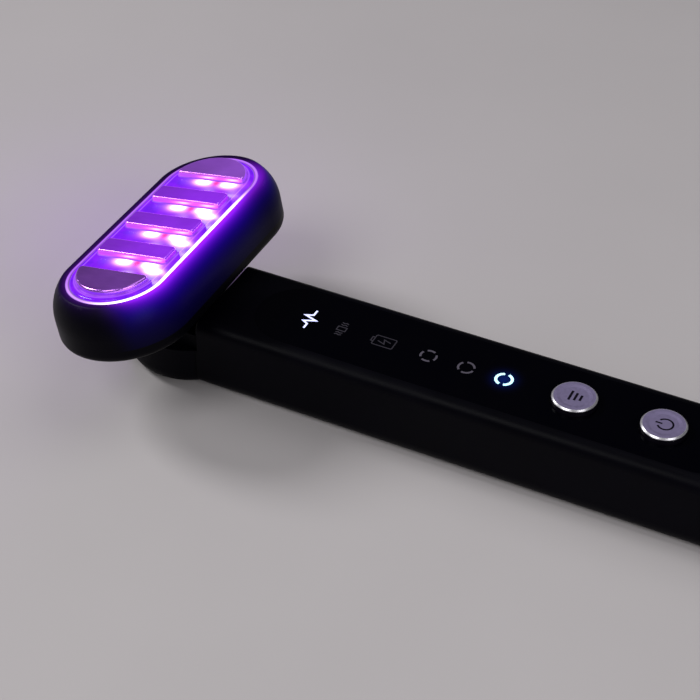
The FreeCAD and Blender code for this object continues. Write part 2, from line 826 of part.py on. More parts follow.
groove_radius = s.stem_radius - s.clip_groove
stem_solid = joined([rod(s.stem_radius, stem_low, flange_high),
                     rod(stem_flange_radius, floor_high, flange_high)])
groove = ring(clip_radius, groove_radius, clip_low, clip_high)
screw_circle = (s.stem_radius + stem_flange_radius) / 2
screw_places = [(screw_circle, ZERO), (ZERO, screw_circle), (-screw_circle, ZERO), (ZERO, -screw_circle)]
screw_low = head_rise + s.shell_wall / 2
stem_holes = [rod(s.stem_screw_radius, floor_high - s.fit_gap, flange_high + s.fit_gap, x, y)
              for x, y in screw_places]
bore = rod(s.stem_bore, stem_low - s.fit_gap, flange_high + s.fit_gap)
keep(cut(stem_solid, [bore, groove] + stem_holes), "swivel_stem", True)
screws = []
for x, y in screw_places:
    shank = rod(s.stem_screw_radius, screw_low, flange_high, x, y)
    head = rod(s.stem_screw_head, flange_high, flange_high + s.stem_screw_head, x, y)
    screws.append(joined([shank, head]))
keep(group(screws), "stem_screws", True)
keep(ring(clip_radius, s.stem_radius + s.fit_gap, clip_high, washer_high), "friction_washer", True)
keep(ring(clip_radius, groove_radius, clip_low, clip_high), "retaining_clip", True)
keep(ring(turret_radius - s.collar_step, s.stem_radius + s.fit_gap, collar_low, head_rise),
     "swivel_collar", True)

# Head base: the shallow lower cover

body = new_body("head_base")
outline = new_sketch(body, "XY_Plane", head_rise)
stadium(outline, s.head_length, s.head_width)
feature = pad(body, outline, s.base_depth)
rounded(body, feature, s.base_round, flat_at("Z", head_rise))
outline = new_sketch(body, "XY_Plane", seam)
stadium(outline, cavity_length, cavity_width)
pocket(body, outline, s.base_depth - s.shell_wall)
outline = new_sketch(body, "XY_Plane", seam)
circle(outline, s.stem_radius + s.fit_gap)
pocket(body, outline, s.base_depth)
outline = new_sketch(body, "XY_Plane", seam)
for x, y in screw_places:
    circle(outline, s.stem_screw_radius, x, y)
pocket(body, outline, seam - screw_low)
keep(body, "head_base", True)

# Head shell: barrel sides, lens recess, ledge and cavity

body = new_body("head_shell")
head_span = s.head_length - s.head_width
outline = new_sketch(body, "XZ_Plane", -head_span / 2)
barrel_outline(outline, whole=True)
pad(body, outline, head_span)
feature = None
for level, backward in ((-head_span / 2, False), (head_span / 2, True)):
    outline = new_sketch(body, "XZ_Plane", level)
    barrel_outline(outline, whole=False)
    feature = half_turn(body, outline, backward)
rounded(body, feature, s.rim_round, flat_at("Z", rim))
outline = new_sketch(body, "XY_Plane", rim)
stadium(outline, lens_length, lens_width)
pocket(body, outline, s.lens_seat)
outline = new_sketch(body, "XY_Plane", rim)
stadium(outline, ledge_length, ledge_width)
pocket(body, outline, s.head_depth)
outline = new_sketch(body, "XY_Plane", led_board_high)
stadium(outline, cavity_length, cavity_width)
pocket(body, outline, s.head_depth)
keep(body, "head_shell", True)

# Light ring and lens

ring_in = s.light_ring_width + s.light_ring_width
body = new_body("light_ring")
outline = new_sketch(body, "XY_Plane", lens_low)
stadium(outline, lens_length - s.fit_gap, lens_width - s.fit_gap)
stadium(outline, lens_length - ring_in, lens_width - ring_in)
pad(body, outline, s.lens_seat)
keep(body, "light_ring", True)

lens_high = rim + s.lens_crown
body = new_body("lens")
outline = new_sketch(body, "XY_Plane", lens_low)
stadium(outline, lens_length - ring_in - s.fit_gap, lens_width - ring_in - s.fit_gap)
feature = pad(body, outline, s.lens_seat + s.lens_crown)
rounded(body, feature, s.lens_round, flat_at("Z", lens_high))
outline = new_sketch(body, "XY_Plane", lens_high)
electrode_outlines(outline, s.fit_gap)
pocket(body, outline, s.lens_seat + s.lens_crown)
keep(body, "lens", True)

# Electrodes: three bars and two rounded ends, seated on the lamp board

electrode_high = lens_high + s.electrode_crown


def electrode(label, draw):
    solid = new_body(label)
    plan = new_sketch(solid, "XY_Plane", led_board_high)
    draw(plan)
    stock = pad(solid, plan, electrode_high - led_board_high)
    uprights = rounded(solid, stock, s.electrode_corner,
                       lambda limits: limits.ZLength > 1.0 and limits.XLength < 1e-4)
    rounded(solid, uprights, s.electrode_round, flat_at("Z", electrode_high))
    keep(solid, label, True)


for label, y in zip(("near", "middle", "far"), bar_places):
    electrode(f"electrode_bar_{label}", lambda plan, y=y: rectangle(
        plan, -bar_half, bar_half, y - bar_side, y + bar_side))
for label, side in (("near", -1), ("far", 1)):
    electrode(f"electrode_end_{label}", lambda plan, side=side: end_electrode_outline(plan, ZERO, side))

# Lamp board, lamps and reflector tray

body = new_body("lamp_board")
outline = new_sketch(body, "XY_Plane", led_board_low)
stadium(outline, cavity_length - s.fit_gap - s.fit_gap, cavity_width - s.fit_gap - s.fit_gap)
pad(body, outline, s.led_board_thickness)
keep(body, "lamp_board", True)

half = s.lamp_size / 2
lamp_columns = (s.lamp_shift - s.lamp_offset, s.lamp_shift + s.lamp_offset)
lamp_places = [(x, y) for y in lamp_rows for x in lamp_columns]
keep(group([box(x - half, x + half, y - half, y + half, led_board_high, led_board_high + s.lamp_height)
            for x, y in lamp_places]), "violet_lamps", True)
red_half = s.red_lamp_size / 2
red_low = s.lamp_shift - red_half
red_high = s.lamp_shift + red_half
keep(group([box(red_low, red_high, y - red_half, y + red_half, led_board_high, led_board_high + s.lamp_height)
            for y in lamp_rows]), "red_lamps", True)

body = new_body("reflector_tray")
outline = new_sketch(body, "XY_Plane", led_board_high)
stadium(outline, ledge_length - s.fit_gap - s.fit_gap, ledge_width - s.fit_gap - s.fit_gap)
pad(body, outline, s.tray_thickness)
tray_high = led_board_high + s.tray_thickness
outline = new_sketch(body, "XY_Plane", tray_high)
electrode_outlines(outline, s.fit_gap)
pocket(body, outline, s.tray_thickness)
outline = new_sketch(body, "XY_Plane", tray_high)
for x, y in lamp_places:
    rectangle(outline, x - half - s.fit_gap, x + half + s.fit_gap, y - half - s.fit_gap, y + half + s.fit_gap)
for y in lamp_rows:
    rectangle(outline, red_low - s.fit_gap, red_high + s.fit_gap,
              y - red_half - s.fit_gap, y + red_half + s.fit_gap)
pocket(body, outline, s.tray_thickness)
keep(body, "reflector_tray", True)

# Vibration motor under the lamp board, with its spinning weight

motor_level = led_board_low - s.motor_radius - s.fit_gap
motor_start = stem_flange_radius + s.motor_gap
motor_end = motor_start + s.motor_length
bracket_half = s.motor_radius + s.motor_wall
bracket = box(-bracket_half, bracket_half, motor_start, motor_end, motor_level, led_board_low)
clearance = lying_rod(s.motor_radius + s.fit_gap / 2, motor_start - s.fit_gap, motor_end + s.fit_gap,
                      ZERO, motor_level)
keep(cut(bracket, [clearance]), "motor_bracket", True)
shaft_end = motor_end + s.motor_shaft_reach
shaft_start = motor_end - s.motor_length / 2
can = lying_rod(s.motor_radius, motor_start, motor_end, ZERO, motor_level)
bearing = lying_rod(s.motor_shaft_radius + s.running_gap, shaft_start, motor_end + s.fit_gap,
                    ZERO, motor_level)
keep(cut(can, [bearing]), "motor_can", True)
keep(group([lying_rod(s.motor_shaft_radius, shaft_start + s.fit_gap, shaft_end, ZERO, motor_level)]),
     "motor_shaft", True)
weight_start = shaft_end - s.weight_length
disc = lying_rod(s.weight_radius, weight_start, shaft_end, ZERO, motor_level)
upper = box(-s.weight_radius, s.weight_radius, weight_start - s.fit_gap, shaft_end + s.fit_gap,
            motor_level + s.motor_shaft_radius + s.weight_web, motor_level + s.weight_radius)
eye = lying_rod(s.motor_shaft_radius, weight_start - s.fit_gap, shaft_end + s.fit_gap, ZERO, motor_level)
keep(cut(disc, [upper, eye]), "eccentric_weight", True)

# Lead from the lamp board down the hollow stem into the pod

keep(group([rod(s.cable_radius, clip_low, led_board_low)]), "head_cable", True)

# Recompute, check and write

doc.recompute()
failed = [item.Label for item in doc.Objects if "Invalid" in item.State or "Error" in item.State]
failed += [item.Label for item in pieces if item.Shape.isNull() or not item.Shape.isValid()]
if failed:
    raise RuntimeError("failed pieces: " + ", ".join(failed))
os.makedirs("parts", exist_ok=True)
for item in pieces:
    item.Shape.exportStep(os.path.join("parts", item.Label + ".step"))
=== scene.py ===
import json
import math

import bmesh
import bpy
from bpy.props import FloatProperty, FloatVectorProperty, PointerProperty
from mathutils import Matrix, Vector

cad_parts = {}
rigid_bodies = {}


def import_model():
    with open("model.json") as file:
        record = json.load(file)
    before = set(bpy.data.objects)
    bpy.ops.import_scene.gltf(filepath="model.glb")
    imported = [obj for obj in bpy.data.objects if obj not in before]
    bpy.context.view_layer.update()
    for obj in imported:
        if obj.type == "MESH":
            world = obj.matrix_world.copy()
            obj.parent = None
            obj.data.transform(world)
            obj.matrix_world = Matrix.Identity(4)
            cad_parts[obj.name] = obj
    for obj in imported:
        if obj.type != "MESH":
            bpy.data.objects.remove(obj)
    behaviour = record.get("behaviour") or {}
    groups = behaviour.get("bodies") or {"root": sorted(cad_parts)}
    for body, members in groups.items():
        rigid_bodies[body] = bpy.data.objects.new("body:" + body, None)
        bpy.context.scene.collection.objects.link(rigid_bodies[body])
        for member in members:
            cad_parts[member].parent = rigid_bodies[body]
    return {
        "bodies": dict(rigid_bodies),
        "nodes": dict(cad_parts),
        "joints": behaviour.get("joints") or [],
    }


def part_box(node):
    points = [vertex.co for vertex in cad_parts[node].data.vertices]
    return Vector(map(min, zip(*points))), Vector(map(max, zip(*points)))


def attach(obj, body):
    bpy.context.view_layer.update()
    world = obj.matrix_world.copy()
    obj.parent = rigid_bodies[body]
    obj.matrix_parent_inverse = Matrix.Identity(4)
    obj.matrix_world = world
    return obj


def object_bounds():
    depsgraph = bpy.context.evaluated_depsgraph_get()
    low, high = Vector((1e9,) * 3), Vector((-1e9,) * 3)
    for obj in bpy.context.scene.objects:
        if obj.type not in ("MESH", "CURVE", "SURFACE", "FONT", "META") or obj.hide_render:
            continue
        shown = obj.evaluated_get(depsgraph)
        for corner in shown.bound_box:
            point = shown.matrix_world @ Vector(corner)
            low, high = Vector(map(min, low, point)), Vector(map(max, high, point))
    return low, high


bl_info = {
    "name": "Facial care wand",
    "version": (1, 0, 0),
    "blender": (4, 5, 0),
    "location": "View3D > Sidebar > Wand",
    "description": "Dresses the packed solids of a facial care wand with a lit head",
    "category": "Object",
}

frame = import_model()
CAD_BOX = [list(corner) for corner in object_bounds()]
NODES = frame["nodes"]
MM = 0.001

# The head turns about a leaning axis; its own frame has Z along that axis.
SWIVEL = next(joint for joint in frame["joints"] if joint["name"] == "head_swivel")
LEAN = math.atan2(-SWIVEL["axis"][0], SWIVEL["axis"][2])
HEAD_PLACE = Vector(SWIVEL["pos_m"])
HEAD_FRAME = Matrix.Translation(HEAD_PLACE) @ Matrix.Rotation(-LEAN, 4, "Y")
HEAD_UP = HEAD_FRAME.to_3x3() @ Vector((0.0, 0.0, 1.0))


def middle(node):
    """Centre of a CAD node's box at rest."""
    low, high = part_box(node)
    return (low + high) / 2


def head_box(node):
    """Lowest and highest corner of a CAD node in the head's own frame, in millimetres."""
    back = HEAD_FRAME.inverted()
    spots = [back @ vertex.co / MM for vertex in NODES[node].data.vertices]
    return [Vector(tuple(pick(s[axis] for s in spots) for axis in range(3))) for pick in (min, max)]


# Sizes read from the frame: the lens and its ring in millimetres, in the head's own frame.
PANEL_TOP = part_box("control_panel")[1].z
LAMP_PITCH = abs(middle("electrode_bar_near").y - middle("electrode_bar_middle").y)
RING_HIGH = head_box("light_ring")[1]
RING_RADIUS = RING_HIGH.x
RING_STRAIGHT = RING_HIGH.y - RING_HIGH.x
RIM_LEVEL = RING_HIGH.z
LENS_TOP = head_box("lens")[1].z
LAMP_TOP = head_box("violet_lamps")[1].z
RED_LOW, RED_HIGH = head_box("red_lamps")
LAMP_SHIFT = (RED_LOW.x + RED_HIGH.x) / 2

# Lamps and electrodes: rows, nodes, share of a red dome, small heights and tolerances in metres.
LAMP_ROWS = 4
ELECTRODES = (
    "electrode_end_near", "electrode_bar_near", "electrode_bar_middle", "electrode_bar_far",
    "electrode_end_far",
)
LIP_HEIGHT = 0.00012
DOME_SINK = 0.00001
RED_DOME = 0.6
WELD = 1e-6
ON_PLANE = 1e-7

# Where the signs stand along the panel, in metres.
SIGN_PLACES = {
    "icon_pulse": -0.0524,
    "icon_vibration": -0.0455,
    "icon_battery": -0.0368,
    "icon_ring_four": -0.0273,
    "icon_ring_three": -0.0196,
    "icon_ring_two": -0.0120,
}

# Corner points of the signs, in metres: across in reading direction, up towards the head.
PULSE = (
    (-0.0029, -0.0002), (-0.0015, -0.0002), (-0.0009, 0.0009), (0.0, -0.0013), (0.0008, 0.0012),
    (0.0014, -0.0002), (0.0029, -0.0002),
)
PULSE_STROKE = 0.8
SHAKER = ((-0.00055, -0.0009), (0.00055, -0.0009), (0.00055, 0.0009), (-0.00055, 0.0009))
WAVE = ((0.0, -0.0007), (0.0002, -0.00023), (0.0, 0.00023), (0.0002, 0.0007))
WAVE_REACHES = (0.0011, 0.0017)
CELL_CASE = (
    (-0.0012, -0.0024), (0.0012, -0.0024), (0.0014, -0.0022), (0.0014, 0.0016), (0.0012, 0.0018),
    (-0.0012, 0.0018), (-0.0014, 0.0016), (-0.0014, -0.0022),
)
CELL_TERMINAL = ((-0.0006, 0.0019), (-0.0006, 0.0023), (0.0006, 0.0023), (0.0006, 0.0019))
CELL_FLASH = ((-0.0001, 0.0010), (-0.0006, -0.0005), (0.0006, -0.0001), (0.0001, -0.0016))

# Level rings: number of arcs, angle of the first gap in degrees, stroke as a share of the heavy one.
LEVEL_RINGS = {
    "icon_ring_four": (4, 45, 0.9),
    "icon_ring_three": (3, 30, 0.9),
    "icon_ring_two": (2, 0, 1.15),
}
LIT_RING = "icon_ring_two"
RING_GAP = 30
HALO_REACH = 1.8
HALO_STRENGTH = 0.10

# Marks on the caps: depth of the dish they lie in, and the shape of the power sign.
DISH_DROP = 0.00014
BARS = 3
SIGN_GAP = 64
SIGN_STEPS = 40
SIGN_BAR = (1.3, 0.4)

# Contact strips of the charging port: how many, how thick, and shares of the room they have.
CONTACTS = 6
CONTACT_DEPTH = 0.00004
CONTACT_INSET = 0.0001
CONTACT_RUN = 0.7
CONTACT_WIDTH = 0.55
CONTACT_BEVEL = 0.6

# Tones of the finishes that nobody needs to change: a dark and a light one, or one alone.
PORT_STEEL = ((0.42, 0.42, 0.44), (0.60, 0.60, 0.62))
TURNED_STEEL = ((0.46, 0.46, 0.48), (0.62, 0.62, 0.64))
BRASS = ((0.48, 0.32, 0.13), (0.66, 0.47, 0.20))
GOLD = ((0.62, 0.42, 0.16), (0.80, 0.58, 0.24))
FOIL = ((0.46, 0.47, 0.50), (0.66, 0.67, 0.70))
DARK_PLASTIC = ((0.014, 0.014, 0.016), (0.022, 0.022, 0.025))
ACETAL = ((0.010, 0.010, 0.011), (0.018, 0.018, 0.020))
CABLE = ((0.016, 0.016, 0.017), (0.03, 0.03, 0.032))
FOAM = ((0.10, 0.10, 0.11), (0.17, 0.17, 0.18))
BOARD = ((0.010, 0.075, 0.032), (0.020, 0.125, 0.050))
INDICATOR = ((0.66, 0.62, 0.74), (0.80, 0.78, 0.86))
TRAY = ((0.62, 0.52, 0.74), (0.78, 0.70, 0.86))
INDICATOR_LIGHT = (0.45, 0.5, 1.0)
RING_BODY = (0.05, 0.03, 0.08)
LENS_BODY = (0.03, 0.004, 0.08)
LIP_BODY = (0.10, 0.05, 0.16)

# Depth of the moulded grain in millimetres, and the scale of a pattern that isn't stretched.
GRAIN_DEPTH = 0.03
EVEN = (1.0, 1.0, 1.0)

# Stage: soft lamps with place and diameter in metres, the head's own light, and the camera.
FLOOR_REACH = 4.0
SOFT_LAMPS = {
    "key": ((-0.24, -0.46, 0.62), 0.40),
    "fill": ((0.52, -0.36, 0.38), 0.45),
    "side": ((-0.95, 0.02, 0.68), 0.32),
    "above": ((0.20, 0.30, 0.88), 0.75),
}
VIOLET_PLACE = Vector((-0.026, 0.026, 0.012))
VIOLET_TINT = (0.42, 0.02, 1.0)
VIOLET_SIZE = 0.012
WORLD_TINT = (0.98, 0.97, 1.0, 1.0)
CAMERA_PLACE = (0.075544, -0.239878, 0.230311)
CAMERA_YAW = math.radians(26.4397)
CAMERA_PITCH = math.radians(39.2460)
CAMERA_SENSOR = 36.0


def length(title, text, default):
    """A length that a user may change, in metres."""
    return FloatProperty(name=title, description=text, default=default, unit="LENGTH", precision=5)


def share(title, text, default, top=1.0):
    """A plain factor that a user may change."""
    return FloatProperty(name=title, description=text, default=default, min=0.0, max=top)


def colour(title, text, default):
    """A linear colour that a user may change."""
    return FloatVectorProperty(
        name=title, description=text, default=default, subtype="COLOR", size=3, min=0.0, max=1.0
    )


class HandleLook(bpy.types.PropertyGroup):
    """Colours and grain of the handle, its panel and the shells of the head."""

    # Both plastic tones are near black with a violet cast added as painted light from the head.
    plastic: colour("Plastic", "Satin plastic of the shells", (0.0007, 0.0006, 0.0018))
    plastic_light: colour(
        "Plastic, light", "Paler patches of the satin plastic", (0.0014, 0.0012, 0.0032)
    )
    # Near black with a navy cast added as a painted blue sheen.
    panel: colour("Panel", "Glossy control panel", (0.0003, 0.0003, 0.0016))
    grain: length("Grain", "Size of the moulded grain", 0.00034)
    satin: share("Satin", "Roughness of the satin plastic", 0.42)
    satin_shine: share("Satin shine", "Specular level of the satin plastic", 0.05)
    gloss: share("Gloss", "Roughness of the glossy panel", 0.10)
    gloss_shine: share("Gloss shine", "Specular level of the glossy panel", 0.05)


class ButtonLook(bpy.types.PropertyGroup):
    """Colours and marks of the two push buttons."""

    cap: colour("Cap", "Satin metal of the caps", (0.29, 0.248, 0.42))
    # Paler than the top: partly polished metal, partly a painted highlight.
    polish_and_highlight: colour("Polish", "Polished bevel round a cap", (0.80, 0.78, 0.84))
    bevel: length("Bevel", "Height of the bevel round a cap", 0.00035)
    crown: length("Crown", "Radius of a cap's top inside its bevel", 0.00395)
    # Also laid on the cap wall as painted shade.
    mark: colour("Mark", "Etched marks on the caps", (0.003, 0.002, 0.006))
    mark_shine: share("Mark shine", "Specular level of the etched marks", 0.08)
    bar_longest: length("Longest bar", "Length of the longest of the three bars", 0.0027)
    bar_step: length("Bar step", "How much each next bar is shorter", 0.00057)
    bar_pitch: length("Bar pitch", "Distance between the bars", 0.00098)
    bar_width: length("Bar width", "Width of a bar", 0.00046)
    sign_radius: length("Sign radius", "Radius of the power sign", 0.00142)
    sign_stroke: length("Sign stroke", "Line width of the power sign", 0.00036)
    mark_height: length("Mark height", "How far the marks stand above the dish", 0.00002)
    mark_shift: length("Mark shift", "How far the marks stand past a cap's middle", 0.00022)


class IconLook(bpy.types.PropertyGroup):
    """Colours and sizes of the signs on the control panel."""

    lit: colour("Lit", "Light of a sign that is on", (0.58, 0.62, 1.0))
    lit_ring: colour("Lit ring", "Light of the level ring that is on", (0.48, 0.86, 1.0))
    halo: colour("Halo", "Glow in the panel round a lit sign", (0.02, 0.10, 1.0))
    unlit: colour("Unlit", "Signs that are off", (0.075, 0.066, 0.092))
    faint: colour("Faint", "Signs that are off and hard to see", (0.021, 0.018, 0.028))
    ring_radius: length("Ring radius", "Middle radius of the level rings", 0.00153)
    stroke: length("Stroke", "Line width of a heavy sign", 0.00046)
    thin_stroke: length("Thin stroke", "Line width of a fine sign", 0.00022)
    height: length("Height", "How far a sign stands above the panel", 0.00004)
    strength: share("Strength", "Light of the signs that are on", 1.15, 20.0)


class HeadLook(bpy.types.PropertyGroup):
    """Colours and light of the head."""

    glow: colour("Glow", "Violet light in the lens", (0.27, 0.010, 0.95))
    deep: colour("Deep glow", "Darker light away from the lamps", (0.12, 0.006, 0.74))
    blue: colour("Blue glow", "Bluer light at one end of each gap", (0.10, 0.05, 0.95))
    spot: colour("Spot", "Light right above a lamp", (1.0, 0.88, 1.0))
    blush: colour("Blush", "Pink light round a lamp", (1.0, 0.16, 0.95))
    red: colour("Red", "Light of the small red lamps", (1.0, 0.03, 0.22))
    edge: colour("Edge", "Light of the bright line round the lens", (0.48, 0.13, 1.0))
    edge_dim: colour(
        "Edge, dim", "Light that reaches the front edge of the handle", (0.42, 0.26, 0.62)
    )
    edge_white: colour("Edge, bright", "Brightest stretch of that line", (1.0, 0.82, 1.0))
    spill: colour("Spill", "Blue light that leaks down the shell", (0.035, 0.0, 0.80))
    # Polished metal whose violet cast is painted light from the lens.
    metal: colour("Metal", "Polished metal of the electrodes", (0.52, 0.20, 0.78))
    veil: colour("Veil", "Violet light over the electrode bars", (0.28, 0.015, 0.92))
    veil_end: colour("Veil, ends", "Paler light over the electrodes at the ends", (0.36, 0.10, 0.80))
    lamp_offset: length("Lamp offset", "Distance of a violet lamp from the red one", 0.00285)
    spot_rise: length("Spot rise", "How far the spots lie towards the far end", 0.00175)
    lamp_radius: length("Lamp radius", "Radius of a lamp's small dome", 0.00125)
    dome: length("Dome", "Height of a lamp's small dome", 0.00024)
    lip: length("Lip", "Width of the lens lip round an electrode", 0.00028)


class StageLook(bpy.types.PropertyGroup):
    """Floor, light and camera."""

    floor: colour("Floor", "Pale floor", (0.53, 0.50, 0.51))
    key: share("Key", "Power of the soft lamp in front", 1.65, 100.0)
    fill: share("Fill", "Power of the wider lamp in front", 1.6, 100.0)
    side: share("Side", "Power of the soft lamp past the head", 6.2, 100.0)
    above: share("Above", "Power of the wide lamp above", 1.6, 100.0)
    violet: share("Violet", "Power of the head's own light on the floor", 0.016, 10.0)
    world: share("World", "Even light all round", 0.07, 10.0)
    lens: share("Camera lens", "Focal length in millimetres", 92.571, 300.0)


class Finish:
    """A node material under construction; its patterns are read in millimetres."""

    def __init__(self, name, metallic=0.0, specular=0.5, place=Vector(), lean=0.0):
        self.material = bpy.data.materials.new(name)
        self.material.use_nodes = True
        self.nodes = self.material.node_tree.nodes
        self.links = self.material.node_tree.links
        self.shader = self.nodes["Principled BSDF"]
        self.put("Metallic", metallic)
        self.put("Specular IOR Level", specular)
        where = self.nodes.new("ShaderNodeTexCoord")
        turn = self.nodes.new("ShaderNodeMapping")
        turn.vector_type = "TEXTURE"
        turn.inputs["Location"].default_value = place
        turn.inputs["Rotation"].default_value = (0.0, -lean, 0.0)
        turn.inputs["Scale"].default_value = (MM, MM, MM)
        self.links.new(where.outputs["Object"], turn.inputs["Vector"])
        self.place = turn.outputs["Vector"]
        split = self.nodes.new("ShaderNodeSeparateXYZ")
        self.links.new(self.place, split.inputs[0])
        self.x, self.y, self.z = split.outputs

    def feed(self, socket, value):
        """Link a socket, or set its constant."""
        if isinstance(value, bpy.types.NodeSocket):
            self.links.new(value, socket)
        elif socket.type == "RGBA" and len(value) == 3:
            socket.default_value = (*value, 1.0)
        else:
            socket.default_value = value

    def put(self, name, value):
        """Feed one input of the shader."""
        self.feed(self.shader.inputs[name], value)

    def tint(self, name, amount, tones):
        """Feed a colour input of the shader with one tone, or with two blended by an amount."""
        self.put(name, tones[0] if len(tones) == 1 else self.mix(amount, *tones))

    def sum(self, kind, *values, clamp=False):
        """One Math node."""
        node = self.nodes.new("ShaderNodeMath")
        node.operation = kind
        node.use_clamp = clamp
        for socket, value in zip(node.inputs, values):
            self.feed(socket, value)
        return node.outputs[0]

    def noise(self, per_mm, detail=3.0, stretch=EVEN):
        """Noise whose patches are about one over per_mm millimetres wide."""
        node = self.nodes.new("ShaderNodeTexNoise")
        node.inputs["Scale"].default_value = per_mm
        node.inputs["Detail"].default_value = detail
        source = self.place
        if stretch != EVEN:
            turn = self.nodes.new("ShaderNodeMapping")
            turn.inputs["Scale"].default_value = stretch
            self.links.new(source, turn.inputs["Vector"])
            source = turn.outputs["Vector"]
        self.links.new(source, node.inputs["Vector"])
        return node.outputs["Fac"]

    def spread(self, value, low, high, at_low=0.3, at_high=0.7, smooth=False):
        """Map a value to low where it is at_low and to high where it is at_high, clamped."""
        node = self.nodes.new("ShaderNodeMapRange")
        node.interpolation_type = "SMOOTHSTEP" if smooth else "LINEAR"
        for name, part in zip(
            ("Value", "From Min", "From Max", "To Min", "To Max"), (value, at_low, at_high, low, high)
        ):
            self.feed(node.inputs[name], part)
        return node.outputs["Result"]

    def mix(self, amount, first, second):
        """Blend two colours."""
        node = self.nodes.new("ShaderNodeMix")
        node.data_type = "RGBA"
        sockets = [s for s in node.inputs if s.type == "RGBA"]
        self.feed(node.inputs["Factor"], amount)
        self.feed(sockets[0], first)
        self.feed(sockets[1], second)
        return next(s for s in node.outputs if s.type == "RGBA")

    def hill(self, across, along, wide, deep):
        """A soft round hill of light, 1 at its top, with the given half sizes in millimetres."""
        aside = self.sum("POWER", self.sum("DIVIDE", across, wide), 2.0)
        ahead = self.sum("POWER", self.sum("DIVIDE", along, deep), 2.0)
        return self.sum("EXPONENT", self.sum("MULTIPLY", self.sum("ADD", aside, ahead), -1.0))

    def ridge(self, across, wide):
        """A soft line of light, 1 along its crest, with the given half width in millimetres."""
        return self.hill(across, 0.0, wide, deep=1.0)

    def bump(self, height, depth, strength=0.5):
        """Relief of that depth in millimetres."""
        node = self.nodes.new("ShaderNodeBump")
        node.inputs["Strength"].default_value = strength
        node.inputs["Distance"].default_value = depth * MM
        self.links.new(height, node.inputs["Height"])
        self.put("Normal", node.outputs["Normal"])


def head_finish(name, **facts):
    """A finish whose patterns follow the head's own leaning frame."""
    return Finish(name, place=HEAD_PLACE, lean=LEAN, **facts)


def dress(finish, *names):
    """Give CAD nodes one finish and keep their meshes."""
    for name in names:
        mesh = NODES[name].data
        mesh.materials.clear()
        mesh.materials.append(finish.material)


def scaled(tone, factor):
    """A colour made darker or paler by a factor."""
    return tuple(channel * factor for channel in tone)


def moulded(name, tones, rough, grain_per_mm, depth, maker=Finish, specular=0.5):
    """Moulded plastic with fine grain and faint uneven sheen."""
    made = maker(name, specular=specular)
    patch = made.noise(per_mm=0.06, detail=4.0)
    made.tint("Base Color", made.spread(patch, 0.0, 1.0), tones)
    made.put("Roughness", made.spread(patch, rough - 0.05, rough + 0.06))
    made.bump(made.noise(grain_per_mm, detail=2.0), depth, strength=0.45)
    return made


def satin(name, look, maker=Finish):
    """Satin black plastic of the shells."""
    tones = (look.plastic, look.plastic_light)
    return moulded(name, tones, look.satin, MM / look.grain, GRAIN_DEPTH, maker, look.satin_shine)


def metal(name, tones, rough, stretch=EVEN, maker=Finish):
    """Bare metal with a drawn or brushed texture."""
    made = maker(name, metallic=1.0)
    lines = made.noise(per_mm=1.6, detail=5.0, stretch=stretch)
    made.tint("Base Color", made.spread(lines, 0.0, 1.0), tones)
    made.put("Roughness", made.spread(lines, rough - 0.04, rough + 0.07))
    made.bump(made.noise(per_mm=5.0, detail=2.0, stretch=stretch), depth=0.01, strength=0.2)
    return made


def lit(name, body, light, rough, strength, per_mm, detail=2.0, maker=Finish):
    """A finish that gives light, uneven in patches; body and light hold one tone or two."""
    made = maker(name)
    patch = made.noise(per_mm, detail)
    made.tint("Base Color", patch, body)
    made.put("Roughness", made.spread(patch, *rough))
    made.tint("Emission Color", patch, light)
    made.put("Emission Strength", made.spread(patch, *strength))
    return made


def piece(name, mesh_builder, finish, body):
    """Turn a finished bmesh into a piece that rides a body."""
    mesh = bpy.data.meshes.new(name)
    mesh_builder.to_mesh(mesh)
    mesh_builder.free()
    made = bpy.data.objects.new(name, mesh)
    bpy.context.scene.collection.objects.link(made)
    mesh.materials.append(finish.material)
    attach(made, body)
    return made


def raise_walls(bm, way):
    """Extrude flat outlines into upright walls."""
    raised = bmesh.ops.extrude_edge_only(bm, edges=bm.edges[:])["geom"]
    moved = [part for part in raised if isinstance(part, bmesh.types.BMVert)]
    bmesh.ops.translate(bm, verts=moved, vec=way)
    bmesh.ops.recalc_face_normals(bm, faces=bm.faces[:])


def thicken(made, title, thickness, offset):
    """Give the walls of a piece their thickness."""
    wall = made.modifiers.new(title, "SOLIDIFY")
    wall.thickness = thickness
    wall.offset = offset
    wall.use_even_offset = True


class Line:
    """Open or closed strokes drawn flat, then raised into thin solid lines."""

    def __init__(self, centre, base, height, stroke):
        self.bm = bmesh.new()
        self.centre = Vector(centre)
        self.base, self.height, self.stroke = base, height, stroke

    def spot(self, across, up):
        """Point of a sign: across in reading direction (+Y), up towards the head (-X)."""
        return Vector((self.centre.x - up, self.centre.y + across, self.base))

    def path(self, *points, closed=False):
        """Straight strokes through points."""
        verts = [self.bm.verts.new(self.spot(*point)) for point in points]
        for first, second in zip(verts, verts[1:] + verts[:1] * closed):
            self.bm.edges.new((first, second))

    def arc(self, radius, start, sweep, steps=14):
        """Part of a ring, in degrees from the reading direction towards the head."""
        turn = math.radians(start)
        first = self.bm.verts.new(self.spot(radius * math.cos(turn), radius * math.sin(turn)))
        bmesh.ops.spin(
            self.bm, geom=[first], cent=self.spot(0.0, 0.0), axis=(0.0, 0.0, 1.0),
            angle=math.radians(sweep), steps=steps,
        )

    def finish(self, name, look, body, slot_name):
        """Raise the strokes and give them their width."""
        raise_walls(self.bm, (0.0, 0.0, self.height))
        thicken(piece(name, self.bm, look, body), "stroke", self.stroke, offset=0.0)


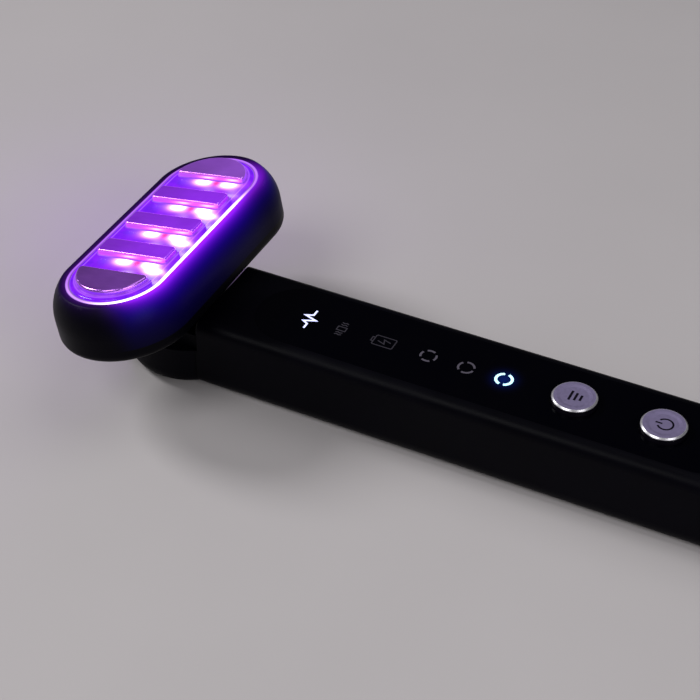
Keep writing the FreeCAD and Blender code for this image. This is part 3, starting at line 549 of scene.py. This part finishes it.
class WAND_OT_handle(bpy.types.Operator):
    """Give the handle, its panel and the charging port their finishes"""

    bl_idname = "wand.handle"
    bl_label = "Finish the handle"

    def execute(self, context):
        look = context.scene.handle_look
        shells = satin("satin_black", look)
        dress(shells, "handle_lower_shell", "end_cap", "head_base", "swivel_collar")
        self.upper(look, context.scene.head_look.edge_dim)
        self.panel(look, context.scene.icon_look.halo)
        port = metal("port_steel", PORT_STEEL, rough=0.28, stretch=(0.2, 1.0, 1.0))
        dress(port, "charging_port_shell")
        return {"FINISHED"}

    @staticmethod
    def upper(look, light):
        """Satin plastic whose front edge catches a little of the head's light."""
        made = satin("satin_black_upper", look)
        low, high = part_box("handle_upper_shell")
        front, top = low.x / MM, high.z / MM
        ahead = made.spread(made.x, 1.0, 0.0, at_low=front + 0.15, at_high=front + 0.5)
        above = made.spread(made.z, 0.0, 1.0, at_low=top - 0.7, at_high=top - 0.3)
        beside = made.spread(made.y, 0.0, 0.32, at_low=1.0, at_high=5.0)
        made.put("Emission Color", light)
        made.put("Emission Strength", made.sum("MULTIPLY", made.sum("MULTIPLY", ahead, above), beside))
        dress(made, "handle_upper_shell")

    @staticmethod
    def panel(look, halo):
        """Glossy plastic with faint smudges, and a glow round the level ring that is on."""
        made = Finish("gloss_panel", specular=look.gloss_shine)
        smudge = made.noise(per_mm=0.09, detail=5.0, stretch=(1.0, 0.5, 1.0))
        # The panel's navy cast is a painted blue sheen.
        made.put("Base Color", made.mix(made.spread(smudge, 0.0, 1.0), look.panel, look.plastic))
        rough = made.spread(smudge, look.gloss - 0.02, look.gloss + 0.09, at_low=0.35, at_high=0.75)
        made.put("Roughness", rough)
        made.bump(made.noise(per_mm=0.05, detail=2.0), depth=0.02, strength=0.2)
        along = made.sum("SUBTRACT", made.x, SIGN_PLACES[LIT_RING] / MM)
        ring = made.hill(along, made.y, wide=HALO_REACH, deep=HALO_REACH)
        made.put("Emission Color", halo)
        made.put("Emission Strength", made.sum("MULTIPLY", ring, HALO_STRENGTH))
        dress(made, "control_panel")


class WAND_OT_insides(bpy.types.Operator):
    """Give the boards, battery, motor and bearing their finishes"""

    bl_idname = "wand.insides"
    bl_label = "Finish the insides"

    def execute(self, context):
        dark = moulded("dark_plastic", DARK_PLASTIC, rough=0.5, grain_per_mm=2.0, depth=0.03)
        dress(
            dark, "light_mask", "switch_housings", "charging_port_tongue", "mode_switch_plunger",
            "power_switch_plunger", "motor_bracket",
        )
        self.board()
        steel = metal("turned_steel", TURNED_STEEL, rough=0.30, stretch=(1.0, 1.0, 6.0))
        dress(
            steel, "board_screws", "motor_can", "swivel_stem", "stem_screws", "retaining_clip",
            "motor_shaft",
        )
        brass = metal("brass_weight", BRASS, rough=0.32, stretch=(1.0, 6.0, 1.0))
        dress(brass, "eccentric_weight")
        foam = moulded("foam_grey", FOAM, rough=0.9, grain_per_mm=3.0, depth=0.12)
        dress(foam, "battery_pad")
        self.foil()
        acetal = moulded("acetal_black", ACETAL, rough=0.42, grain_per_mm=1.5, depth=0.02)
        dress(acetal, "swivel_bush", "friction_washer")
        cable = moulded("cable_black", CABLE, rough=0.55, grain_per_mm=3.0, depth=0.03)
        dress(cable, "head_cable")
        lamps = lit(
            "panel_lamps", INDICATOR, (INDICATOR_LIGHT,), rough=(0.22, 0.36), strength=(0.2, 0.5), per_mm=1.2
        )
        dress(lamps, "indicator_lamps")
        return {"FINISHED"}

    @staticmethod
    def board():
        """Green board with the tracks under its lacquer."""
        made = Finish("board_green")
        tracks = made.noise(per_mm=0.9, detail=1.0, stretch=(1.0, 3.0, 1.0))
        made.tint("Base Color", made.spread(tracks, 0.0, 1.0, at_low=0.48, at_high=0.52), BOARD)
        made.put("Roughness", made.spread(tracks, 0.30, 0.42))
        made.bump(tracks, depth=0.03, strength=0.3)
        dress(made, "control_board", "charging_board", "lamp_board")

    @staticmethod
    def foil():
        """Creased foil of the battery pouch."""
        made = Finish("battery_foil", metallic=0.85)
        creases = made.noise(per_mm=0.35, detail=6.0)
        made.tint("Base Color", made.spread(creases, 0.0, 1.0), FOIL)
        made.put("Roughness", made.spread(creases, 0.28, 0.46))
        made.bump(creases, depth=0.06)
        dress(made, "battery_cell")


class WAND_OT_port(bpy.types.Operator):
    """Lay the contact strips on the tongue of the charging port"""

    bl_idname = "wand.port"
    bl_label = "Charging port contacts"

    def execute(self, context):
        low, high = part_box("charging_port_tongue")
        gold = metal("contact_gold", GOLD, rough=0.24, stretch=(0.3, 1.0, 1.0))
        bm = bmesh.new()
        run = (high.x - low.x) * CONTACT_RUN
        pitch = (high.y - low.y) / (CONTACTS + 1)
        size = Matrix.Diagonal((run, pitch * CONTACT_WIDTH, CONTACT_DEPTH * 2, 1.0))
        for face in (low.z, high.z):
            for number in range(CONTACTS):
                spot = (high.x - run / 2 - CONTACT_INSET, low.y + pitch * (number + 1), face)
                place = Matrix.Translation(spot)
                strip = bmesh.ops.create_cube(bm, size=1.0, matrix=place @ size)["verts"]
                bmesh.ops.bevel(
                    bm, geom=list({edge for vert in strip for edge in vert.link_edges}),
                    offset=CONTACT_DEPTH * CONTACT_BEVEL, segments=1, profile=0.5, affect="EDGES",
                    material=-1,
                )
        piece("port_contacts", bm, gold, "handle")
        return {"FINISHED"}


class WAND_OT_buttons(bpy.types.Operator):
    """Finish the two button caps and draw their marks"""

    bl_idname = "wand.buttons"
    bl_label = "Buttons and their marks"

    def execute(self, context):
        look = context.scene.button_look
        for name in ("mode_button_cap", "power_button_cap"):
            self.cap(name, look)
        ink = moulded(
            "etched_mark", (look.mark, scaled(look.mark, 1.7)), rough=0.7, grain_per_mm=6.0, depth=0.01,
            specular=look.mark_shine,
        )
        bars = self.mark("mode_button_cap", look, look.bar_width)
        for number in range(BARS):
            half = (look.bar_longest - number * look.bar_step) / 2
            up = ((BARS - 1) / 2 - number) * look.bar_pitch
            bars.path((-half, up), (half, up))
        bars.finish("mode_bars", ink, "mode_button", "dark_plastic")
        sign = self.mark("power_button_cap", look, look.sign_stroke)
        sign.arc(look.sign_radius, 90 + SIGN_GAP / 2, 360 - SIGN_GAP, SIGN_STEPS)
        sign.path(*((0.0, look.sign_radius * reach) for reach in SIGN_BAR))
        sign.finish("power_sign", ink, "power_button", "dark_plastic")
        return {"FINISHED"}

    @staticmethod
    def mark(cap, look, stroke):
        """Start a mark in the dish of a cap."""
        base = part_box(cap)[1].z - DISH_DROP - look.mark_height
        centre = middle(cap) + Vector((look.mark_shift, 0.0, 0.0))
        return Line(centre, base, look.mark_height * 2, stroke)

    @staticmethod
    def cap(name, look):
        """Wall painted dark as shade, polished bevel made paler as a painted highlight, and a satin metal
        top.
        """
        made = Finish("satin_silver_" + name)
        place = middle(name) / MM
        rim = (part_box(name)[1].z - look.bevel) / MM
        crown = look.crown / MM
        aside = made.sum("POWER", made.sum("SUBTRACT", made.x, place.x), 2.0)
        radius = made.sum("SQRT", made.sum("ADD", aside, made.sum("POWER", made.y, 2.0)))
        # The wall below the bevel takes the marks' dark colour and no metal: painted shade.
        wall = made.spread(made.z, 1.0, 0.0, at_low=rim + 0.04, at_high=rim + 0.14)
        # The bevel's pale colour is partly polished metal and partly a painted highlight.
        bevel = made.spread(radius, 0.0, 1.0, at_low=crown - 0.10, at_high=crown + 0.02)
        turned = made.noise(per_mm=1.4, detail=4.0)
        top = made.mix(made.spread(turned, 0.0, 1.0), scaled(look.cap, 0.88), look.cap)
        made.put("Base Color", made.mix(wall, made.mix(bevel, top, look.polish_and_highlight), look.mark))
        made.put("Metallic", made.spread(wall, 0.8, 0.0, at_low=0.0, at_high=1.0))
        rough = made.spread(turned, 0.62, 0.74)
        made.put("Roughness", made.spread(bevel, rough, 0.30, at_low=0.0, at_high=1.0))
        made.bump(made.noise(per_mm=7.0, detail=2.0), depth=0.012, strength=0.3)
        dress(made, name)


class WAND_OT_icons(bpy.types.Operator):
    """Draw the six signs on the control panel"""

    bl_idname = "wand.icons"
    bl_label = "Panel signs"

    def execute(self, context):
        look = context.scene.icon_look
        glowing = self.glowing("sign_lit", look.lit, look.strength)
        bright = self.glowing("sign_lit_ring", look.lit_ring, look.strength)
        unlit = self.printed("sign_unlit", look.unlit)
        faint = self.printed("sign_faint", look.faint)

        pulse = self.line("icon_pulse", look, look.stroke * PULSE_STROKE)
        pulse.path(*PULSE)
        pulse.finish("icon_pulse", glowing, "handle", "violet_lamp")

        shake = self.line("icon_vibration", look, look.thin_stroke)
        shake.path(*SHAKER, closed=True)
        for side in (-1, 1):
            for reach in WAVE_REACHES:
                shake.path(*((side * (reach + across), up) for across, up in WAVE))
        shake.finish("icon_vibration", faint, "handle", "dark_plastic")

        cell = self.line("icon_battery", look, look.thin_stroke)
        cell.path(*CELL_CASE, closed=True)
        cell.path(*CELL_TERMINAL)
        cell.path(*CELL_FLASH)
        cell.finish("icon_battery", faint, "handle", "dark_plastic")

        for name, (count, first_gap, wide) in LEVEL_RINGS.items():
            ring = self.line(name, look, look.stroke * wide)
            for number in range(count):
                start = first_gap + RING_GAP / 2 + number * 360 / count
                ring.arc(look.ring_radius, start, 360 / count - RING_GAP)
            finish, slot_name = (bright, "violet_lamp") if name == LIT_RING else (unlit, "dark_plastic")
            ring.finish(name, finish, "handle", slot_name)
        return {"FINISHED"}

    @staticmethod
    def line(name, look, stroke):
        """Start a sign that is sunk into the panel by half its height."""
        sink = look.height / 2
        return Line((SIGN_PLACES[name], 0.0, 0.0), PANEL_TOP - sink, look.height + sink, stroke)

    @staticmethod
    def printed(name, tone):
        """A sign that is off."""
        return moulded(name, (tone, scaled(tone, 1.3)), rough=0.5, grain_per_mm=4.0, depth=0.01)

    @staticmethod
    def glowing(name, light, strength):
        """A sign that is on, a little uneven as light through print is."""
        span = (strength * 0.85, strength * 1.1)
        return lit(name, (light,), (light,), rough=(0.4, 0.5), strength=span, per_mm=1.1)


class WAND_OT_head(bpy.types.Operator):
    """Finish the head: shell, lit ring, lens, electrodes and their lips"""

    bl_idname = "wand.head"
    bl_label = "Head and its light"

    def execute(self, context):
        look = context.scene.head_look
        self.shell(look, context.scene.handle_look)
        self.ring(look)
        self.lens(look)
        self.electrodes(look)
        self.lips(look)
        return {"FINISHED"}

    @staticmethod
    def from_spine(made):
        """Distance from the spine of the rounded head, in millimetres."""
        past = made.sum("MAXIMUM", made.sum("SUBTRACT", made.sum("ABSOLUTE", made.y), RING_STRAIGHT), 0.0)
        squares = made.sum("ADD", made.sum("POWER", made.x, 2.0), made.sum("POWER", past, 2.0))
        return made.sum("SQRT", squares)

    def shell(self, look, plastic):
        """Satin plastic that catches some of the light near its rim."""
        made = satin("satin_black_lit", plastic, head_finish)
        out = made.sum("SUBTRACT", self.from_spine(made), RING_RADIUS)
        below = made.sum("SUBTRACT", RIM_LEVEL, made.z)
        reach = made.sum("MULTIPLY_ADD", below, 0.55, out)
        fall = made.spread(made.x, -1.15, -0.64, at_low=2.0, at_high=9.0, smooth=True)
        near = made.sum("MULTIPLY", made.sum("EXPONENT", made.sum("MULTIPLY", reach, fall)), 1.2)
        side = made.spread(made.x, 0.12, 1.7, at_low=2.0, at_high=11.0, smooth=True)
        far = made.spread(made.y, 1.0, 0.42, at_low=6.0, at_high=18.0, smooth=True)
        close = made.spread(near, 0.0, 1.0, at_low=0.1, at_high=0.6)
        away = made.spread(made.x, 0.8, 0.0, at_low=2.0, at_high=8.0)
        made.put("Emission Color", made.mix(made.sum("MAXIMUM", close, away), look.spill, look.glow))
        made.put("Emission Strength", made.sum("MULTIPLY", near, made.sum("MULTIPLY", side, far)))
        dress(made, "head_shell")

    def ring(self, look):
        """Light guide round the lens, brightest along the side towards the handle."""
        made = head_finish("lit_ring")
        patch = made.noise(per_mm=0.12, detail=2.0)
        side = made.spread(made.x, 0.0, 1.0, at_low=-3.0, at_high=8.0, smooth=True)
        far = made.spread(made.y, 1.0, 0.05, at_low=8.0, at_high=18.0, smooth=True)
        near = made.spread(made.y, 0.22, 0.0, at_low=-26.0, at_high=-18.0, smooth=True)
        facing = made.sum("MULTIPLY", side, far)
        bright = made.sum("ADD", facing, near, clamp=True)
        line = made.ridge(made.sum("SUBTRACT", self.from_spine(made), RING_RADIUS - 0.28), wide=0.26)
        core = made.sum("MULTIPLY", line, made.sum("MULTIPLY_ADD", bright, 1.4, 0.75))
        rise = made.sum("ADD", core, made.sum("MULTIPLY_ADD", facing, 1.1, 0.28))
        made.put("Base Color", RING_BODY)
        made.put("Roughness", made.spread(patch, 0.2, 0.35))
        made.put("Emission Color", made.mix(bright, look.edge, look.edge_white))
        made.put("Emission Strength", made.sum("MULTIPLY", rise, made.spread(patch, 0.9, 1.1)))
        dress(made, "light_ring")

    def lens(self, look):
        """Clear violet-lit lens; the light gathers in the gaps above the lamps."""
        made = head_finish("lit_lens", specular=0.25)
        pitch = LAMP_PITCH / MM
        cell = made.sum("FRACT", made.sum("MULTIPLY_ADD", made.y, 1 / pitch, LAMP_ROWS / 2))
        along = made.sum("MULTIPLY_ADD", cell, pitch, -pitch / 2 - look.spot_rise / MM)
        across = made.sum("SUBTRACT", made.x, LAMP_SHIFT)
        aside = made.sum("SUBTRACT", made.sum("ABSOLUTE", across), look.lamp_offset / MM)
        gaps = made.spread(
            made.sum("ABSOLUTE", made.y), 1.0, 0.0, at_low=18.6, at_high=20.0, smooth=True
        )

        def in_gaps(light, amount=None):
            """Keep a light to the gaps, whole or a share of it."""
            kept = made.sum("MULTIPLY", light, gaps)
            return kept if amount is None else made.sum("MULTIPLY", kept, amount)

        flare = made.hill(
            made.sum("SUBTRACT", across, 4.9), made.sum("ADD", along, 1.8), wide=1.9, deep=1.0
        )
        flare = made.sum("MULTIPLY", flare, made.spread(made.y, 1.0, 0.0, at_low=8.0, at_high=12.0))
        white = made.sum("ADD", made.hill(aside, along, wide=1.9, deep=1.2), flare, clamp=True)
        white = in_gaps(white)
        blush = in_gaps(made.hill(aside, along, wide=3.2, deep=1.9), 0.6)
        blue = in_gaps(made.hill(made.sum("ADD", across, 6.8), along, wide=1.6, deep=1.5), 0.7)
        red = in_gaps(made.hill(across, along, wide=0.95, deep=1.05))

        patch = made.noise(per_mm=0.35, detail=3.0)
        tint = made.mix(made.spread(patch, 0.0, 1.0), look.deep, look.glow)
        border = made.ridge(made.sum("SUBTRACT", self.from_spine(made), RING_RADIUS - 1.75), wide=0.16)
        tint = made.mix(made.sum("MULTIPLY", border, 0.8), tint, look.edge)
        tint = made.mix(blue, tint, look.blue)
        tint = made.mix(blush, tint, look.blush)
        tint = made.mix(white, tint, look.spot)
        tint = made.mix(made.sum("MULTIPLY", red, 0.85), tint, look.red)
        white = made.sum("MULTIPLY", white, made.sum("SUBTRACT", 1.0, red, clamp=True))
        made.put("Base Color", LENS_BODY)
        made.put("Roughness", made.spread(patch, 0.08, 0.16))
        made.put("Alpha", 0.92)
        made.put("Emission Color", tint)
        made.put("Emission Strength", made.sum("MULTIPLY_ADD", white, 4.2, 1.05))
        dress(made, "lens")

    @staticmethod
    def electrodes(look):
        """Polished metal that takes on some of the lens's violet light, most in the middle."""
        # The violet cast of the metal and its glow are painted violet light from the lens.
        made = metal(
            "polished_electrode", (scaled(look.metal, 0.94), look.metal), rough=0.20,
            stretch=(0.25, 1.5, 1.0), maker=head_finish,
        )
        half = head_box("electrode_bar_middle")[1].y
        inner = head_box("electrode_end_far")[0].y
        pitch = LAMP_PITCH / MM
        away = made.sum("ABSOLUTE", made.y)
        end = made.spread(away, 0.0, 1.0, at_low=inner - 2.0, at_high=inner - 0.5)
        cell = made.sum("FRACT", made.sum("MULTIPLY_ADD", made.y, 1 / pitch, len(ELECTRODES) / 2))
        cross = made.sum("ABSOLUTE", made.sum("MULTIPLY_ADD", cell, pitch, -pitch / 2))
        # Bright lines along the edges of the bars and the ends are painted highlights.
        bar_edge = made.spread(cross, 0.0, 1.0, at_low=half - 0.42, at_high=half - 0.22)
        end_edge = made.spread(away, 1.0, 0.0, at_low=inner + 0.22, at_high=inner + 0.42)
        edge = made.sum(
            "ADD",
            made.sum("MULTIPLY", bar_edge, made.sum("SUBTRACT", 1.0, end)),
            made.sum("MULTIPLY", end_edge, end),
        )
        patchy_glow = made.spread(made.noise(per_mm=0.16, detail=2.0), 0.8, 1.0)
        near = made.spread(made.y, 0.17, 0.52, at_low=2.0 - inner, at_high=4.0 - inner)
        far = made.spread(made.y, 1.0, 0.70, at_low=inner - 2.0, at_high=inner - 0.5)
        slope = made.sum("MULTIPLY", patchy_glow, made.spread(made.x, 1.14, 1.64, at_low=-6.0, at_high=3.0))
        light = made.sum("MULTIPLY", made.sum("MULTIPLY", near, far), slope)
        veil = made.mix(end, look.veil, look.veil_end)
        made.put("Emission Color", made.mix(made.sum("MULTIPLY", edge, 0.55), veil, look.blush))
        made.put("Emission Strength", made.sum("MULTIPLY_ADD", edge, 0.25, light))
        dress(made, *ELECTRODES)

    @staticmethod
    def lips(look):
        """A thin lens lip round each electrode, drawn from the electrode's own section; its glow is a
        painted highlight.
        """
        made = lit(
            "lens_lip", (LIP_BODY,), (look.glow, look.edge), rough=(0.1, 0.2), strength=(0.55, 0.9),
            per_mm=0.4, maker=head_finish,
        )
        top = HEAD_FRAME @ Vector((0.0, 0.0, LENS_TOP * MM))
        for node in ELECTRODES:
            bm = bmesh.new()
            bm.from_mesh(NODES[node].data)
            bmesh.ops.remove_doubles(bm, verts=bm.verts[:], dist=WELD)
            bmesh.ops.bisect_plane(
                bm, geom=bm.verts[:] + bm.edges[:] + bm.faces[:], dist=ON_PLANE, plane_co=top,
                plane_no=HEAD_UP, clear_inner=True, clear_outer=True,
            )
            bmesh.ops.delete(bm, geom=bm.faces[:], context="FACES_ONLY")
            raise_walls(bm, HEAD_UP * LIP_HEIGHT)
            lip = piece(node.replace("electrode", "lip"), bm, made, "head")
            thicken(lip, "lip", look.lip, offset=1.0)


class WAND_OT_lamps(bpy.types.Operator):
    """Finish the lamps under the lens and give each a small dome"""

    bl_idname = "wand.lamps"
    bl_label = "Lamps under the lens"

    def execute(self, context):
        look = context.scene.head_look
        rows = [(number - (LAMP_ROWS - 1) / 2) * LAMP_PITCH for number in range(LAMP_ROWS)]
        line = LAMP_SHIFT * MM
        sides = (line - look.lamp_offset, line + look.lamp_offset)
        violet = self.lamp("violet_light", look.spot, look.blush, strength=6.0)
        dress(violet, "violet_lamps")
        spots = [(x, y) for y in rows for x in sides]
        self.domes("violet_domes", violet, spots, look.lamp_radius, look.dome, "violet_lamp")
        red = self.lamp("red_light", look.red, look.blush, strength=4.0)
        dress(red, "red_lamps")
        spots = [(line, y) for y in rows]
        self.domes("red_domes", red, spots, look.lamp_radius * RED_DOME, look.dome, "red_lamp")
        tray = lit(
            "lit_tray", TRAY, (look.glow, look.deep), rough=(0.4, 0.55), strength=(0.7, 1.1), per_mm=0.3,
            detail=3.0, maker=head_finish,
        )
        dress(tray, "reflector_tray")
        return {"FINISHED"}

    @staticmethod
    def lamp(name, light, rim, strength):
        """A lamp that is on."""
        span = (strength * 0.8, strength * 1.2)
        return lit(
            name, (light,), (light, rim), rough=(0.25, 0.4), strength=span, per_mm=1.5, maker=head_finish
        )

    @staticmethod
    def domes(name, finish, spots, radius, height, slot_name):
        """Low half-round domes on the lamps."""
        bm = bmesh.new()
        for x, y in spots:
            place = HEAD_FRAME @ Matrix.Translation((x, y, LAMP_TOP * MM))
            shape = place @ Matrix.Diagonal((1.0, 1.0, height / radius, 1.0))
            bmesh.ops.create_uvsphere(bm, u_segments=20, v_segments=10, radius=radius, matrix=shape)
        level = HEAD_FRAME @ Vector((0.0, 0.0, LAMP_TOP * MM - DOME_SINK))
        bmesh.ops.bisect_plane(
            bm, geom=bm.verts[:] + bm.edges[:] + bm.faces[:], dist=ON_PLANE, plane_co=level,
            plane_no=HEAD_UP, clear_inner=True,
        )
        bmesh.ops.holes_fill(bm, edges=[edge for edge in bm.edges if edge.is_boundary], sides=0)
        bmesh.ops.recalc_face_normals(bm, faces=bm.faces[:])
        piece(name, bm, finish, "head")


class WAND_OT_stage(bpy.types.Operator):
    """Set the floor, the soft light and the camera"""

    bl_idname = "wand.stage"
    bl_label = "Stage"

    def execute(self, context):
        look, scene = context.scene.stage_look, context.scene
        scene.view_settings.view_transform = "Standard"
        self.floor(look, scene)
        self.soft_light(look, scene)
        self.head_light(look, scene)
        self.camera(look, scene)
        return {"FINISHED"}

    @staticmethod
    def floor(look, scene):
        """Pale floor with a faint mottle."""
        bm = bmesh.new()
        bmesh.ops.create_grid(bm, x_segments=1, y_segments=1, size=FLOOR_REACH)
        bmesh.ops.translate(bm, verts=bm.verts[:], vec=(0.0, 0.0, CAD_BOX[0][2]))
        mesh = bpy.data.meshes.new("floor")
        bm.to_mesh(mesh)
        bm.free()
        made = bpy.data.objects.new("floor", mesh)
        scene.collection.objects.link(made)
        stone = Finish("pale_floor", specular=0.3)
        patch = stone.noise(per_mm=0.012, detail=4.0)
        stone.tint("Base Color", stone.spread(patch, 0.0, 1.0), (scaled(look.floor, 0.95), look.floor))
        stone.put("Roughness", 0.62)
        mesh.materials.append(stone.material)

    @staticmethod
    def soft_light(look, scene):
        """Soft lamps in front, past the head and above, and even light all round."""
        for name, (place, size) in SOFT_LAMPS.items():
            data = bpy.data.lights.new(name, "AREA")
            data.shape = "DISK"
            data.size = size
            data.energy = getattr(look, name)
            lamp = bpy.data.objects.new(name, data)
            lamp.location = place
            lamp.rotation_euler = (-Vector(place)).to_track_quat("-Z", "Y").to_euler()
            scene.collection.objects.link(lamp)
        world = bpy.data.worlds.new("studio")
        world.use_nodes = True
        background = world.node_tree.nodes["Background"]
        background.inputs["Color"].default_value = WORLD_TINT
        background.inputs["Strength"].default_value = look.world
        scene.world = world

    @staticmethod
    def head_light(look, scene):
        """Violet light of the head on the floor; it turns with the head."""
        data = bpy.data.lights.new("violet", "POINT")
        data.color = VIOLET_TINT
        data.energy = look.violet
        data.shadow_soft_size = VIOLET_SIZE
        lamp = bpy.data.objects.new("violet", data)
        lamp.visible_glossy = False
        lamp.location = HEAD_FRAME @ (Vector((0.0, 0.0, RIM_LEVEL * MM)) + VIOLET_PLACE)
        scene.collection.objects.link(lamp)
        body = frame["bodies"]["head"]
        lamp.parent = body
        lamp.matrix_parent_inverse = body.matrix_world.inverted()

    @staticmethod
    def camera(look, scene):
        """Camera at the viewing angle of the picture."""
        right = Vector((math.cos(CAMERA_YAW), math.sin(CAMERA_YAW), 0.0))
        ahead = Vector((-math.sin(CAMERA_YAW), math.cos(CAMERA_YAW), 0.0))
        back = Vector((0.0, 0.0, math.sin(CAMERA_PITCH))) - ahead * math.cos(CAMERA_PITCH)
        turn = Matrix((right, back.cross(right), back)).transposed().to_4x4()
        data = bpy.data.cameras.new("camera")
        data.lens = look.lens
        data.sensor_width = CAMERA_SENSOR
        made = bpy.data.objects.new("camera", data)
        made.matrix_world = Matrix.Translation(CAMERA_PLACE) @ turn
        scene.collection.objects.link(made)
        scene.camera = made


LOOKS = {
    "handle_look": HandleLook,
    "button_look": ButtonLook,
    "icon_look": IconLook,
    "head_look": HeadLook,
    "stage_look": StageLook,
}
STEPS = (
    WAND_OT_handle, WAND_OT_insides, WAND_OT_port, WAND_OT_buttons, WAND_OT_icons, WAND_OT_head,
    WAND_OT_lamps, WAND_OT_stage,
)


class WAND_PT_panel(bpy.types.Panel):
    """Lists the steps that dress the wand and the values they use"""

    bl_idname = "WAND_PT_panel"
    bl_label = "Facial care wand"
    bl_space_type = "VIEW_3D"
    bl_region_type = "UI"
    bl_category = "Wand"

    def draw(self, context):
        for step in STEPS:
            self.layout.operator(step.bl_idname)
        for name in LOOKS:
            box = self.layout.box()
            look = getattr(context.scene, name)
            for value in look.__annotations__:
                box.prop(look, value)


def register():
    for kind in (*LOOKS.values(), *STEPS, WAND_PT_panel):
        bpy.utils.register_class(kind)
    for name, kind in LOOKS.items():
        setattr(bpy.types.Scene, name, PointerProperty(type=kind))


def unregister():
    for name in LOOKS:
        delattr(bpy.types.Scene, name)
    for kind in (WAND_PT_panel, *reversed(STEPS), *reversed(tuple(LOOKS.values()))):
        bpy.utils.unregister_class(kind)


def main():
    register()
    bpy.ops.wand.handle()
    bpy.ops.wand.insides()
    bpy.ops.wand.port()
    bpy.ops.wand.buttons()
    bpy.ops.wand.icons()
    bpy.ops.wand.head()
    bpy.ops.wand.lamps()
    bpy.ops.wand.stage()


if __name__ == "__main__":
    main()
